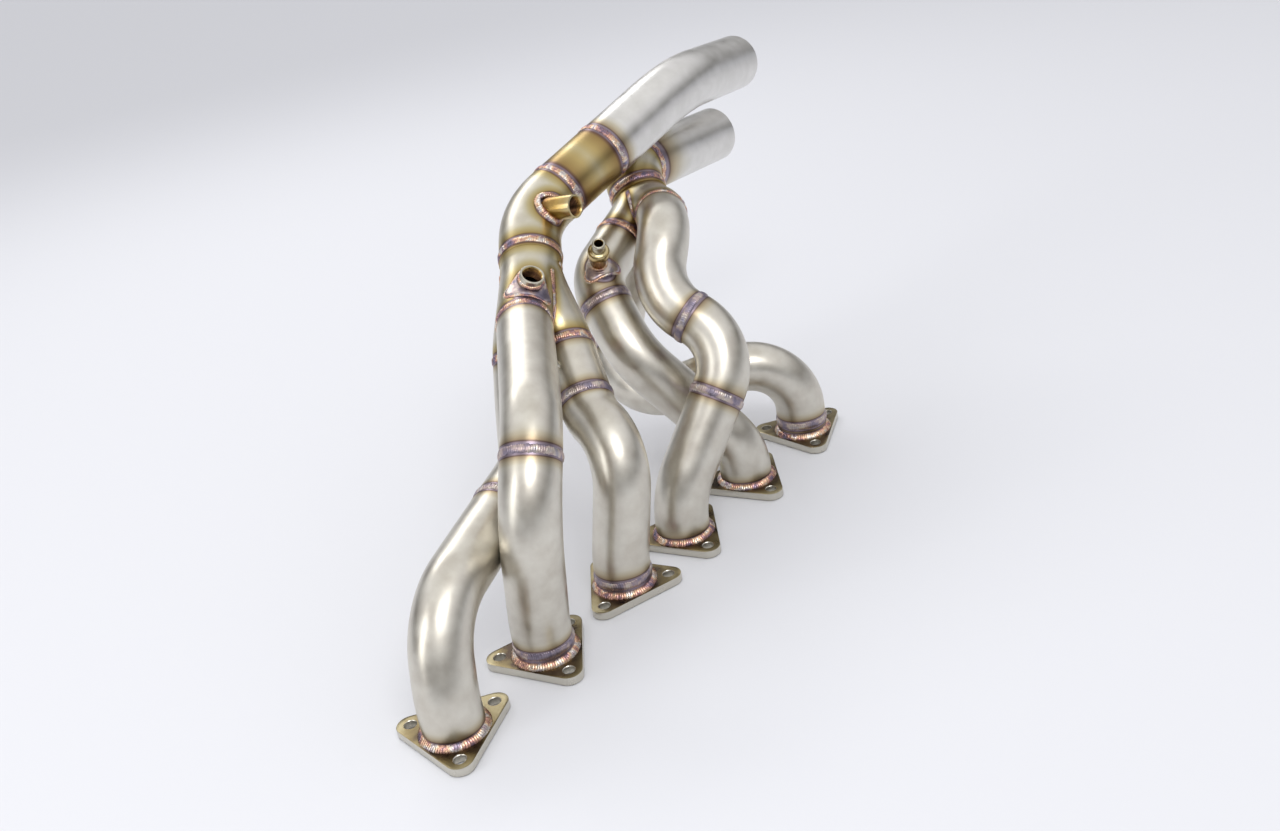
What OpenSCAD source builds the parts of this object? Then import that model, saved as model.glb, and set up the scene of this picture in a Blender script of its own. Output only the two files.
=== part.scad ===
// Six-cylinder racing exhaust header: six bolted port flanges, six bent primary
// tubes, two three-into-one merge collectors and two outlet pipes, all welded.
// Millimetres, +Z up. The gasket faces lie in the plane Z = 0, the row of ports
// runs along +X, and the origin is the centre of port 1 on its gasket face.

/* [Ports] */
// Spacing of the ports within each group of three
port_pitch = 91; // [90:0.5:92]
// Spacing of ports 3 and 4
centre_gap = 76; // [75:0.5:77]

/* [Port flanges] */
// Thickness of a port flange
flange_t = 6; // [5:0.5:8]
// Diameter of the circle of stud holes
stud_pcd = 65; // [63:0.5:68]
// Diameter of a stud hole
stud_hole_d = 8.5; // [8:0.1:9]
// Radius of a flange corner, about its stud hole
corner_r = 9.5; // [9:0.25:11]

/* [Tubes] */
// Outside diameter of a primary tube
primary_od = 42; // [41:0.5:42]
// Outside diameter of an outlet pipe
outlet_od = 49; // [47:0.5:49]
// Wall of every tube
wall = 1.5; // [1.2:0.1:2]

/* [Welds] */
// Height of a butt-weld bead above the tube
bead_h = 1.2; // [0.8:0.1:1.6]
// Width of a butt-weld bead along the tube
bead_w = 5.5; // [4:0.5:6]
// Leg of the fillet weld between a flange and its tube
fillet_leg = 3.5; // [2.5:0.5:4]
// Height of the weld pad round a boss
pad_h = 1.8; // [1:0.2:2.4]

/* [Bosses] */
// Outside diameter of the two turned bungs
bung_od = 18.5; // [17:0.5:20]
// Bore of the two turned bungs
bung_bore_d = 14; // [12:0.5:15]
// How far the collector bung stands above the collector
bung_h = 6; // [4:0.5:10]
// How far the long bung stands out of the front elbow
probe_h = 23; // [16:1:28]
// How far the pressure take-off stands above tube 5
adapter_h = 28; // [24:1:32]
// Bore of the pressure take-off
adapter_bore_d = 7; // [5:0.5:8]
// Diameter of the tie rod between tubes 2 and 3
tie_d = 5; // [4:0.5:6]

/* [Hidden] */
$fn = 64;

primary_r = primary_od / 2;
outlet_r = outlet_od / 2;
stud_r = stud_pcd / 2;
bung_r = bung_od / 2;
// How far a straight laps over a bend, and how much slimmer than it the bend is
lap = 0.5;
slip = 0.02;
// Length of the round stub at each mouth of a collector
stub = 5;
// Thickness of the end discs that a collector's skin is stretched between
skin_disc = 0.7;
// Clearance that keeps a many-sided ring off the true round tube inside it
ring_clear = 0.03;
// Segments round a collector
collector_fn = 56;

// Where each port stands along the row
port_x = [
    0, port_pitch, 2 * port_pitch,
    2 * port_pitch + centre_gap, 3 * port_pitch + centre_gap, 4 * port_pitch + centre_gap
];
// How far each flange is turned about its port
flange_turn = [-10, 10, 70, 10, 10, -10];

// Outlet centre of each collector, where its elbow starts
front_merge = [275, 120, 215];
rear_merge = [431, 132, 217];

// Centreline routes: the corner points of each tube, and the bend radius at each
// inner corner. Every primary leaves its port straight up.
route_1 = [[port_x[0], 0, 0], [port_x[0], 0, 30], [20, 14, 80], [160, 50, 104], [221, 106, 126],
           [243, 119, 158]];
bends_1 = [60, 63, 63, 63];
route_2 = [[port_x[1], 0, 0], [port_x[1], 0, 28], [86, -18, 113], [129, 4, 163], [219, 84, 187]];
bends_2 = [100, 63, 63];
route_3 = [[port_x[2], 0, 0], [port_x[2], 0, 25], [204, -3, 107], [221, 38, 119], [250, 76, 155]];
bends_3 = [63, 45, 45];
route_4 = [[port_x[3], 0, 0], [port_x[3], 0, 36], [341, -16, 132], [331, 50, 167], [366, 57, 210],
           [412, 96, 210]];
bends_4 = [63, 46, 48, 40];
route_5 = [[port_x[4], 0, 0], [port_x[4], 0, 34], [311, 66, 124], [334, 113, 175], [382, 120, 191]];
bends_5 = [50, 70, 42];
route_6 = [[port_x[5], 0, 0], [port_x[5], 0, 82], [342, 121, 51], [411, 162, 104], [424, 134, 180]];
bends_6 = [45, 47, 52];
front_route = [front_merge, [304, 141, 237], [490, 119, 294], [612, 141, 283]];
front_bends = [70, 150];
rear_route = [rear_merge, [441, 146, 232], [576, 150, 225]];
rear_bends = [25.5];

// Weld stations on the routes: [leg, distance along that leg]
start = [0, flange_t];
short_spigot = [0, 14.5];
long_spigot = [0, 17];
weld_1 = [2, 100];
weld_2 = [2, 46];
weld_3 = [3, 13];
weld_4 = [[1, 83], [2, 41.5]];
weld_5 = [2, 49];
weld_6 = [[1, 75], [2, 63.2]];
front_weld = [[1, 36], [1, 93]];
rear_weld = [1, 18.5];
// Where each primary ends and its collector begins
end_1 = [4, 26];
end_2 = last(route_2);
end_3 = last(route_3);
end_4 = [4, 42];
end_5 = last(route_5);
end_6 = [3, 70];
front_mouths = [mouth(route_1, end_1), mouth(route_2, end_2), mouth(route_3, end_3)];
rear_mouths = [mouth(route_4, end_4), mouth(route_5, end_5), mouth(route_6, end_6)];

// Where each boss stands: its foot on the tube, the way it points, and the way its pad spreads
bung_foot = [238, 87, 215];
bung_axis = [-0.1, -0.57, 0.81];
bung_spread = [-0.78, -0.5, -0.39];
probe_foot = [305, 115, 246];
probe_axis = [0.08, -0.99, 0.1];
adapter_foot = [331, 102, 191];
adapter_axis = [-0.36, -0.48, 0.8];
adapter_spread = [-0.3, -0.75, -0.6];
// How far each boss reaches in through the tube wall, and how far its cutter does
bung_inside = 5;
probe_inside = 10;
adapter_inside = 5;
// Radii of the pressure take-off: neck, collar and nipple
neck_r = 6.5;
collar_r = 8.8;
nipple_r = 5.2;
// Ends of the tie rod, on the centrelines of tubes 2 and 3
tie_ends = [[212, 78, 185], [232, 52, 132]];

function unit(v) = v / norm(v);
// The point at a station of a route, and the route's direction there
function at(p, s) = p[s[0]] + s[1] * heading(p, s);
function heading(p, s) = unit(p[s[0] + 1] - p[s[0]]);
// The station at the far end of a route
function last(p) = [len(p) - 2, norm(p[len(p) - 1] - p[len(p) - 2])];
// A mouth: its centre and the direction through it
function mouth(p, s) = [at(p, s), heading(p, s)];
// The corner points of a route between two stations, and the bend radii between them
function stretch(p, s, e) =
    concat([at(p, s)], e[0] > s[0] ? [for (k = [s[0] + 1 : e[0]]) p[k]] : [], [at(p, e)]);
function radii(c, s, e) = e[0] > s[0] ? [for (k = [s[0] + 1 : e[0]]) c[k - 1]] : [];
// Direction of leg k, and at corner k: the way the bend leans, its angle, its
// tangent length, and its roll from the plane of the bend before
function leg_dir(q, k) = unit(q[k + 1] - q[k]);
function lean(q, k) =
    unit(leg_dir(q, k) - (leg_dir(q, k) * leg_dir(q, k - 1)) * leg_dir(q, k - 1));
function turn(q, k) = acos(leg_dir(q, k - 1) * leg_dir(q, k));
function tangent(q, c, k) = k < 1 || k > len(q) - 2 ? 0 : c[k - 1] * tan(turn(q, k) / 2);
function carried(q, k) = lean(q, k) * cos(turn(q, k)) - leg_dir(q, k - 1) * sin(turn(q, k));
function roll(q, k) = k < 2 ? 0 : let (a = carried(q, k - 1), b = lean(q, k))
    atan2(cross(a, b) * leg_dir(q, k - 1), a * b);

module steel() { color([0.74, 0.72, 0.67]) children(); }
module tinted() { color([0.66, 0.58, 0.40]) children(); }
module weld() { color([0.52, 0.40, 0.38]) children(); }

// Places its children at point a, with +Z along z and +X as near x as it can be
module pose(a, z, x = [1, 0.2, 0.1]) {
    w = unit(z);
    h = unit(x - (x * w) * w);
    v = cross(w, h);
    multmatrix([
        [h[0], v[0], w[0], a[0]],
        [h[1], v[1], w[1], a[1]],
        [h[2], v[2], w[2], a[2]],
        [0, 0, 0, 1]
    ]) children();
}

// A disc, or a ring where it has a bore
module ring(r, bore) {
    difference() {
        circle(r = r);
        if (bore > 0) circle(r = bore);
    }
}

// Leg k of a pipe, the bend that ends it, and the rest of the pipe. A straight laps a
// little way over the bends at its ends.
module run(q, c, r, bore, k) {
    leg = norm(q[k + 1] - q[k]) - tangent(q, c, k) - tangent(q, c, k + 1);
    bends_on = k + 2 < len(q);
    before = k > 0 ? lap : 0;
    after = bends_on ? lap : 0;
    translate([0, 0, -before]) linear_extrude(leg + before + after) ring(r, bore);
    if (bends_on)
        translate([0, 0, leg]) rotate([0, 0, roll(q, k + 1)]) translate([c[k], 0, 0]) {
            rotate([90, 0, 180]) rotate_extrude(angle = turn(q, k + 1)) translate([c[k], 0])
                ring(r - slip, bore > 0 ? bore + slip : 0);
            rotate([0, turn(q, k + 1), 0]) translate([-c[k], 0, 0]) run(q, c, r, bore, k + 1);
        }
}

// A pipe along a route from station s to station e, or a rod where the bore is 0
module pipe(p, c, s, e, r, bore) {
    q = stretch(p, s, e);
    pose(q[0], leg_dir(q, 0), len(q) > 2 ? lean(q, 1) : [1, 0.2, 0.1])
        run(q, radii(c, s, e), r, bore, 0);
}

module primary(p, c, s, e) { steel() pipe(p, c, s, e, primary_r, primary_r - wall); }
module outlet(p, c, s, e) { steel() pipe(p, c, s, e, outlet_r, outlet_r - wall); }

// A three-stud port flange with its gasket face on Z = 0
module port_flange(k) {
    tinted() translate([port_x[k], 0, 0]) rotate(flange_turn[k])
        linear_extrude(flange_t) difference() {
            hull() for (a = [0, 120, 240]) rotate(a) translate([stud_r, 0]) circle(r = corner_r);
            for (a = [0, 120, 240]) rotate(a) translate([stud_r, 0]) circle(d = stud_hole_d);
            circle(r = primary_r - wall);
        }
}

// The fillet weld that joins a primary to its flange
module port_weld(k) {
    weld() translate([port_x[k], 0, flange_t]) rotate_extrude()
        polygon([
            [primary_r, 0], [primary_r + fillet_leg, 0],
            [primary_r + 0.6 * fillet_leg, 0.6 * fillet_leg], [primary_r, fillet_leg]
        ]);
}

// A short straight spigot, from the flange to the first butt weld
module spigot(p, s) { steel() pipe(p, [], start, s, primary_r, primary_r - wall); }

// A butt-weld bead round a tube of radius r
module bead(m, r, clear = 0) {
    pose(m[0], m[1]) rotate_extrude() polygon([
        [r + clear, -0.5 * bead_w], [r + 0.6 * bead_h, -0.4 * bead_w], [r + bead_h, -0.15 * bead_w],
        [r + bead_h, 0.15 * bead_w], [r + 0.6 * bead_h, 0.4 * bead_w], [r + clear, 0.5 * bead_w]
    ]);
}
module beads(p, stations, r) { weld() for (s = stations) bead(mouth(p, s), r); }

// The body of a merge collector: a skin from each inlet mouth to the outlet at m, grown
// by g and run past its mouths by t
module merge_body(mouths, m, g, t) {
    module disc(a, u, along, r) {
        pose(a, u) translate([0, 0, along]) cylinder(r = r + g, h = skin_disc, $fn = collector_fn);
    }
    for (i = mouths) {
        hull() {
            disc(i[0], i[1], -t, primary_r);
            disc(i[0], i[1], stub - skin_disc, primary_r);
        }
        hull() {
            disc(i[0], i[1], stub - skin_disc, primary_r);
            disc(m[0], m[1], -stub, outlet_r);
        }
    }
    hull() {
        disc(m[0], m[1], -stub, outlet_r);
        disc(m[0], m[1], t - skin_disc, outlet_r);
    }
}
module collector(mouths, m) {
    difference() {
        merge_body(mouths, m, 0, 0);
        merge_body(mouths, m, -wall, 1);
    }
}
// The beads round a collector's mouths
module collector_welds(mouths, m) {
    weld() difference() {
        union() {
            for (i = mouths) bead(i, primary_r, ring_clear);
            bead(m, outlet_r, ring_clear);
        }
        merge_body(mouths, m, 0, 0);
    }
}

// Outline of the weld pad round a boss of radius r: round at the boss, square at the far edge
module pad_outline(r, reach, half_width) {
    hull() {
        circle(r = r + 2);
        for (s = [-1, 1]) translate([reach - 3, s * (half_width - 3)]) circle(r = 3);
    }
}
// A cylinder that stands for a boss where it passes through a tube
module boss_rod(foot, axis, r, inside, h) {
    pose(foot, axis) translate([0, 0, -inside]) cylinder(r = r, h = inside + h);
}
// A plain turned bung
module bung(foot, axis, inside, h) {
    tinted() pose(foot, axis) translate([0, 0, -inside]) linear_extrude(inside + h)
        ring(bung_r, bung_bore_d / 2);
}

front_outlet_mouth = mouth(front_route, [0, 0]);
rear_outlet_mouth = mouth(rear_route, [0, 0]);

module front_collector() {
    steel() difference() {
        collector(front_mouths, front_outlet_mouth);
        boss_rod(bung_foot, bung_axis, bung_r + ring_clear, 2 * bung_inside, bung_h);
    }
}
module bung_pad() {
    weld() difference() {
        intersection() {
            pose(bung_foot, bung_axis, bung_spread) translate([0, 0, -4 * bung_inside])
                linear_extrude(8 * bung_inside) pad_outline(bung_r, 15, 17);
            merge_body(front_mouths, front_outlet_mouth, pad_h, 0);
        }
        merge_body(front_mouths, front_outlet_mouth, 0, 0);
        boss_rod(bung_foot, bung_axis, bung_r + ring_clear, 4 * bung_inside, 4 * bung_h);
    }
}
module front_outlet_elbow() {
    steel() difference() {
        pipe(front_route, front_bends, [0, 0], front_weld[0], outlet_r, outlet_r - wall);
        boss_rod(probe_foot, probe_axis, bung_r, probe_inside, probe_h);
    }
}
module probe_weld() {
    weld() difference() {
        intersection() {
            boss_rod(probe_foot, probe_axis, bung_r + 4, probe_inside + 4, probe_h);
            pipe(front_route, front_bends, [0, 0], front_weld[0], outlet_r + 3, 0);
        }
        pipe(front_route, front_bends, [0, 0], front_weld[0], outlet_r, 0);
        boss_rod(probe_foot, probe_axis, bung_r, 2 * probe_inside, probe_h);
    }
}
module primary_5_upper() {
    steel() difference() {
        pipe(route_5, bends_5, weld_5, end_5, primary_r, primary_r - wall);
        boss_rod(adapter_foot, adapter_axis, neck_r, 2 * adapter_inside, adapter_h);
    }
}
module adapter_pad() {
    weld() difference() {
        intersection() {
            pose(adapter_foot, adapter_axis, adapter_spread) translate([0, 0, -3 * adapter_inside])
                linear_extrude(5 * adapter_inside) pad_outline(neck_r, 12, 15);
            pipe(route_5, bends_5, weld_5, end_5, primary_r + pad_h, 0);
        }
        pipe(route_5, bends_5, weld_5, end_5, primary_r, 0);
        boss_rod(adapter_foot, adapter_axis, neck_r, 4 * adapter_inside, adapter_h);
    }
}
module pressure_adapter() {
    bore_r = adapter_bore_d / 2;
    tinted() pose(adapter_foot, adapter_axis) rotate_extrude() polygon([
        [bore_r, -adapter_inside], [neck_r, -adapter_inside], [neck_r, 0.38 * adapter_h],
        [collar_r, 0.45 * adapter_h], [collar_r, 0.64 * adapter_h], [collar_r - 1.2, 0.7 * adapter_h],
        [nipple_r, 0.7 * adapter_h], [nipple_r, 0.96 * adapter_h], [nipple_r - 0.8, adapter_h],
        [bore_r, adapter_h]
    ]);
}
module tie_rod() {
    steel() difference() {
        pose(tie_ends[0], tie_ends[1] - tie_ends[0])
            cylinder(d = tie_d, h = norm(tie_ends[1] - tie_ends[0]));
        pipe(route_2, bends_2, weld_2, end_2, primary_r, 0);
        pipe(route_3, bends_3, [2, 5], end_3, primary_r, 0);
    }
}

port_flange(0);  // port_flange_1
port_flange(1);  // port_flange_2
port_flange(2);  // port_flange_3
port_flange(3);  // port_flange_4
port_flange(4);  // port_flange_5
port_flange(5);  // port_flange_6
port_weld(0);  // port_weld_1
port_weld(1);  // port_weld_2
port_weld(2);  // port_weld_3
port_weld(3);  // port_weld_4
port_weld(4);  // port_weld_5
port_weld(5);  // port_weld_6
spigot(route_2, short_spigot);  // port_spigot_2
spigot(route_3, short_spigot);  // port_spigot_3
spigot(route_6, long_spigot);  // port_spigot_6
primary(route_1, bends_1, start, weld_1);  // primary_1_lower
primary(route_1, bends_1, weld_1, end_1);  // primary_1_upper
primary(route_2, bends_2, short_spigot, weld_2);  // primary_2_lower
primary(route_2, bends_2, weld_2, end_2);  // primary_2_upper
primary(route_3, bends_3, short_spigot, weld_3);  // primary_3_lower
primary(route_3, bends_3, weld_3, end_3);  // primary_3_upper
primary(route_4, bends_4, start, weld_4[0]);  // primary_4_lower
primary(route_4, bends_4, weld_4[0], weld_4[1]);  // primary_4_middle
primary(route_4, bends_4, weld_4[1], end_4);  // primary_4_upper
primary(route_5, bends_5, start, weld_5);  // primary_5_lower
primary_5_upper();
primary(route_6, bends_6, long_spigot, weld_6[0]);  // primary_6_lower
primary(route_6, bends_6, weld_6[0], weld_6[1]);  // primary_6_middle
primary(route_6, bends_6, weld_6[1], end_6);  // primary_6_upper
beads(route_1, [weld_1], primary_r);  // primary_1_weld
beads(route_2, [short_spigot, weld_2], primary_r);  // primary_2_welds
beads(route_3, [short_spigot, weld_3], primary_r);  // primary_3_welds
beads(route_4, weld_4, primary_r);  // primary_4_welds
beads(route_5, [weld_5], primary_r);  // primary_5_weld
beads(route_6, concat([long_spigot], weld_6), primary_r);  // primary_6_welds
front_collector();
steel() collector(rear_mouths, rear_outlet_mouth);  // rear_collector
collector_welds(front_mouths, front_outlet_mouth);  // front_collector_welds
collector_welds(rear_mouths, rear_outlet_mouth);  // rear_collector_welds
front_outlet_elbow();
outlet(front_route, front_bends, front_weld[0], front_weld[1]);  // front_outlet_link
outlet(front_route, front_bends, front_weld[1], last(front_route));  // front_outlet_tail
outlet(rear_route, rear_bends, [0, 0], rear_weld);  // rear_outlet_elbow
outlet(rear_route, rear_bends, rear_weld, last(rear_route));  // rear_outlet_tail
beads(front_route, front_weld, outlet_r);  // front_outlet_welds
beads(rear_route, [rear_weld], outlet_r);  // rear_outlet_weld
bung(bung_foot, bung_axis, bung_inside, bung_h);  // sensor_bung
bung_pad();
bung(probe_foot, probe_axis, probe_inside, probe_h);  // probe_boss
probe_weld();
pressure_adapter();
adapter_pad();
tie_rod();
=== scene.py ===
"""Racing exhaust header: the visual model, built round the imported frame."""

import logging
import math
from dataclasses import dataclass, field
from enum import Enum
from typing import Callable, Iterable, Sequence

import bmesh
import bpy
import numpy as np
from mathutils import Matrix, Vector
from mathutils.bvhtree import BVHTree


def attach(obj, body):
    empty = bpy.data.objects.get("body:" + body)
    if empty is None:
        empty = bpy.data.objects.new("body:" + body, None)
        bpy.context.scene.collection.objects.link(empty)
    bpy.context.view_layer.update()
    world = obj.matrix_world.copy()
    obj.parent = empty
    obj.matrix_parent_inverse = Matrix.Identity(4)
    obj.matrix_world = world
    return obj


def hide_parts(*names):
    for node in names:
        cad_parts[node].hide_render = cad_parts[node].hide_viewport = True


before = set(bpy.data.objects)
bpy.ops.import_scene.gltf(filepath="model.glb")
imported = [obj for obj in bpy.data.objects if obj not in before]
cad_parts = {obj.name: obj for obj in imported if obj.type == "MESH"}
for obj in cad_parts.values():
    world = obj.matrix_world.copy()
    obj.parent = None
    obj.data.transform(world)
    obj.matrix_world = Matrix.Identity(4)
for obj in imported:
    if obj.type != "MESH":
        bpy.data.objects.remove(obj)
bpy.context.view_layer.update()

LOG = logging.getLogger("header")
BODY = "root"
MM = 0.001

Vec = np.ndarray
Point = tuple[float, float, float]
Face = tuple[int, ...]
# A place on a route: a leg and the distance along it
Cut = tuple[int, float]


# ---------------------------------------------------------------- sizes


@dataclass(frozen=True)
class HeaderSizes:
    """The sizes that the pieces share, in millimetres."""

    primary_r: float = 21.0
    outlet_r: float = 24.5
    wall: float = 1.5
    flange_t: float = 6.0
    stud_circle_r: float = 32.5
    stud_hole_r: float = 4.25
    corner_r: float = 9.5
    bung_r: float = 9.25
    bung_bore_r: float = 7.0


SIZES = HeaderSizes()
PORT_X = (0.0, 91.0, 182.0, 258.0, 349.0, 440.0)
FLANGE_TURN = (-10.0, 10.0, 70.0, 10.0, 10.0, -10.0)


class Surface(Enum):
    """The record's material slots."""

    TUBE = "tube_steel"
    COLLECTOR = "collector_steel"
    OUTLET = "outlet_steel"
    FLANGE = "flange_steel"
    WELD = "weld_bead"
    TURNED = "turned_steel"


# ---------------------------------------------------------------- vectors


def vec(p: Iterable[float]) -> Vec:
    """A float array of a point."""
    return np.array(tuple(p), dtype=float)


def unit(v: Iterable[float]) -> Vec:
    """The vector at length one."""
    a = vec(v)
    return a / np.linalg.norm(a)


def square_to(axis: Vec, hint: Iterable[float] = (0.31, 0.52, 0.79)) -> tuple[Vec, Vec]:
    """Two directions square to an axis and to each other.

    Args:
        axis: A direction of length one.
        hint: The first direction leans as near to this as it can.

    Returns:
        The two directions; with the axis they are right-handed.
    """
    h = vec(hint)
    a = h - (h @ axis) * axis
    if np.linalg.norm(a) < 1e-6:
        a = np.cross(axis, (1.0, 0.0, 0.0))
    a = unit(a)
    return a, np.cross(axis, a)


@dataclass
class Station:
    """A place on a tube's centreline, with a frame carried along without twist."""

    at: Vec
    along: Vec
    side: Vec
    distance: float


@dataclass(frozen=True)
class Route:
    """A tube's centreline: straight legs joined by round bends, in millimetres."""

    corners: tuple[Point, ...]
    bends: tuple[float, ...]

    def leg(self, k: int) -> Vec:
        """The direction of leg k."""
        return unit(vec(self.corners[k + 1]) - vec(self.corners[k]))

    def place(self, leg: int, along: float) -> Vec:
        """The point a distance along a leg, measured from its first corner."""
        return vec(self.corners[leg]) + along * self.leg(leg)

    def across(self, cut: Cut) -> tuple[Vec, Vec]:
        """The centre of a cut, and the direction through it."""
        return self.place(*cut), self.leg(cut[0])

    def end(self) -> Cut:
        """The weld station at the far end."""
        k = len(self.corners) - 2
        return k, float(np.linalg.norm(vec(self.corners[k + 1]) - vec(self.corners[k])))

    def stations(self, start: Cut, stop: Cut, step: float = 2.0) -> list[Station]:
        """Places along the route between two weld stations.

        Args:
            start: Leg and distance of the first place.
            stop: Leg and distance of the last place.
            step: The widest spacing, in millimetres.

        Returns:
            The places in order, each with its carried frame.
        """
        points = [self.place(*start)]
        points += [vec(self.corners[k]) for k in range(start[0] + 1, stop[0] + 1)]
        points.append(self.place(*stop))
        bends = [self.bends[k - 1] for k in range(start[0] + 1, stop[0] + 1)]
        path: list[tuple[Vec, Vec]] = []
        here = points[0]

        def straight(a: Vec, b: Vec, u: Vec, last: bool) -> None:
            """Adds the places of a straight stretch, with its far end if it is the last."""
            n = max(2, math.ceil(np.linalg.norm(b - a) / step))
            for i in range(n + 1 if last else n):
                path.append((a + (b - a) * i / n, u))

        for k, r in enumerate(bends, start=1):
            u, w = unit(points[k] - points[k - 1]), unit(points[k + 1] - points[k])
            angle = math.acos(float(np.clip(u @ w, -1, 1)))
            tangent = r * math.tan(angle / 2)
            into = points[k] - u * tangent
            straight(here, into, u, False)
            inward = unit(w - (w @ u) * u)
            n = max(4, math.ceil(r * angle / step))
            for i in range(n):
                t = angle * i / n
                at = into + inward * r * (1 - math.cos(t)) + u * r * math.sin(t)
                path.append((at, u * math.cos(t) + inward * math.sin(t)))
            here = points[k] + w * tangent
        straight(here, points[-1], unit(points[-1] - points[-2]), True)
        out: list[Station] = []
        side = square_to(path[0][1])[0]
        run = 0.0
        for i, (p, u) in enumerate(path):
            if i:
                run += float(np.linalg.norm(p - path[i - 1][0]))
            side = unit(side - (side @ u) * u)
            out.append(Station(p, u, side, run))
        return out


ROUTES: dict[int, Route] = {
    1: Route(
        ((0, 0, 0), (0, 0, 30), (20, 14, 80), (160, 50, 104), (221, 106, 126), (243, 119, 158)),
        (60, 63, 63, 63),
    ),
    2: Route(((91, 0, 0), (91, 0, 28), (86, -18, 113), (129, 4, 163), (219, 84, 187)), (100, 63, 63)),
    3: Route(((182, 0, 0), (182, 0, 25), (204, -3, 107), (221, 38, 119), (250, 76, 155)), (63, 45, 45)),
    4: Route(
        ((258, 0, 0), (258, 0, 36), (341, -16, 132), (331, 50, 167), (366, 57, 210), (412, 96, 210)),
        (63, 46, 48, 40),
    ),
    5: Route(((349, 0, 0), (349, 0, 34), (311, 66, 124), (334, 113, 175), (382, 120, 191)), (50, 70, 42)),
    6: Route(((440, 0, 0), (440, 0, 82), (342, 121, 51), (411, 162, 104), (424, 134, 180)), (45, 47, 52)),
}
FRONT_ROUTE = Route(((275, 120, 215), (304, 141, 237), (490, 119, 294), (612, 141, 283)), (70, 150))
REAR_ROUTE = Route(((431, 132, 217), (441, 146, 232), (576, 150, 225)), (25.5,))


# ---------------------------------------------------------------- nodes and finishes


Socket = bpy.types.NodeSocket
Stops = tuple[tuple[float, str], ...]


def linear(code: str) -> tuple[float, float, float, float]:
    """The linear colour of an sRGB hex code such as "#c8c4ba"."""
    out = []
    for i in (1, 3, 5):
        c = int(code[i : i + 2], 16) / 255
        out.append(c / 12.92 if c <= 0.04045 else ((c + 0.055) / 1.055) ** 2.4)
    return out[0], out[1], out[2], 1.0


def add_node(tree: bpy.types.NodeTree, kind: str, inputs: dict | None = None, **settings) -> bpy.types.Node:
    """Adds a node with its settings and links.

    Args:
        tree: The tree it goes in.
        kind: The node's type name.
        inputs: Input name or index to a value to set, a socket to link, or a
            node whose first output is linked.
        **settings: Attributes of the node. "ramp" is a list of (place, hex code) stops.

    Returns:
        The node.
    """
    node = tree.nodes.new(kind)
    ramp = settings.pop("ramp", None)
    for key, value in settings.items():
        setattr(node, key, value)
    if ramp:
        while len(node.color_ramp.elements) < len(ramp):
            node.color_ramp.elements.new(0.5)
        for stop, (place, code) in zip(node.color_ramp.elements, ramp, strict=True):
            stop.position = place
            stop.color = linear(code)
    for key, value in (inputs or {}).items():
        if isinstance(value, bpy.types.Node):
            value = value.outputs[0]
        if isinstance(value, Socket):
            tree.links.new(value, node.inputs[key])
        else:
            node.inputs[key].default_value = value
    return node


@dataclass(frozen=True)
class Finish:
    """A surface finish. Each kind draws the pattern that feeds its shader."""

    name: str

    def inputs(self, tree: bpy.types.NodeTree) -> dict:
        """Draws the pattern in the tree, and returns the shader's inputs."""
        raise NotImplementedError

    def build(self) -> bpy.types.Material:
        """Makes the material."""
        material = bpy.data.materials.new(self.name)
        material.use_nodes = True
        tree = material.node_tree
        tree.nodes.clear()
        shader = add_node(tree, "ShaderNodeBsdfPrincipled", self.inputs(tree))
        add_node(tree, "ShaderNodeOutputMaterial", {"Surface": shader})
        return material


@dataclass(frozen=True)
class HeatTintedStainless(Finish):
    """Satin 304 stainless tube, fine-blasted after welding.

    The blasting spreads every highlight into a soft cream band. Oxide left by
    the weld's heat runs from violet at the bead through brown and amber to
    straw, and fades out into the clean steel. The grain is drawn about 0.9 mm
    wide, so that it still shows at arm's length.
    """

    clean: str = "#dbd7cc"
    deep: str = "#cac4b8"
    roughness: float = 0.33
    waver_mm: float = 26.0
    mottle_mm: float = 14.0
    grain_mm: float = 0.9
    stops: Stops = (
        (0.0, "#5c525e"),
        (0.03, "#958a98"),
        (0.11, "#8e7f85"),
        (0.15, "#63504a"),
        (0.22, "#a39176"),
        (0.42, "#bfb49c"),
        (0.66, "#cdc7b7"),
    )

    def inputs(self, tree: bpy.types.NodeTree) -> dict:
        """Draws mottled steel, the oxide over it and the blasted grain."""
        place = add_node(tree, "ShaderNodeTexCoord").outputs["Object"]
        tint = add_node(tree, "ShaderNodeAttribute", attribute_name="tint").outputs["Fac"]
        waver, mottle, grain = (
            add_node(tree, "ShaderNodeTexNoise", {"Vector": place, "Scale": 1 / (mm * MM), "Detail": detail})
            for mm, detail in ((self.waver_mm, 3.0), (self.mottle_mm, 4.0), (self.grain_mm, 2.0))
        )
        pull = add_node(tree, "ShaderNodeMath", {0: waver, 1: 0.34, 2: -0.17}, operation="MULTIPLY_ADD")
        heat = add_node(tree, "ShaderNodeMath", {0: pull, 1: tint, 2: tint}, operation="MULTIPLY_ADD")
        patches = ((0.32, self.deep), (0.68, self.clean))
        steel = add_node(tree, "ShaderNodeValToRGB", {"Fac": mottle}, ramp=patches)
        oxide = add_node(tree, "ShaderNodeValToRGB", {"Fac": heat}, ramp=self.stops)
        fading = {"Value": heat, "From Min": 0.45}
        fade = add_node(tree, "ShaderNodeMapRange", fading, interpolation_type="SMOOTHSTEP")
        colour = add_node(tree, "ShaderNodeMix", {"Factor": fade, 6: oxide, 7: steel}, data_type="RGBA")
        middle = {"Value": mottle, "From Min": 0.25, "From Max": 0.75}
        span = {"To Min": self.roughness - 0.05, "To Max": self.roughness + 0.07}
        rough = add_node(tree, "ShaderNodeMapRange", {**middle, **span})
        bump = add_node(tree, "ShaderNodeBump", {"Height": grain, "Strength": 0.10, "Distance": 0.05 * MM})
        return {"Metallic": 1.0, "Base Color": colour.outputs[2], "Roughness": rough, "Normal": bump}


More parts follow.
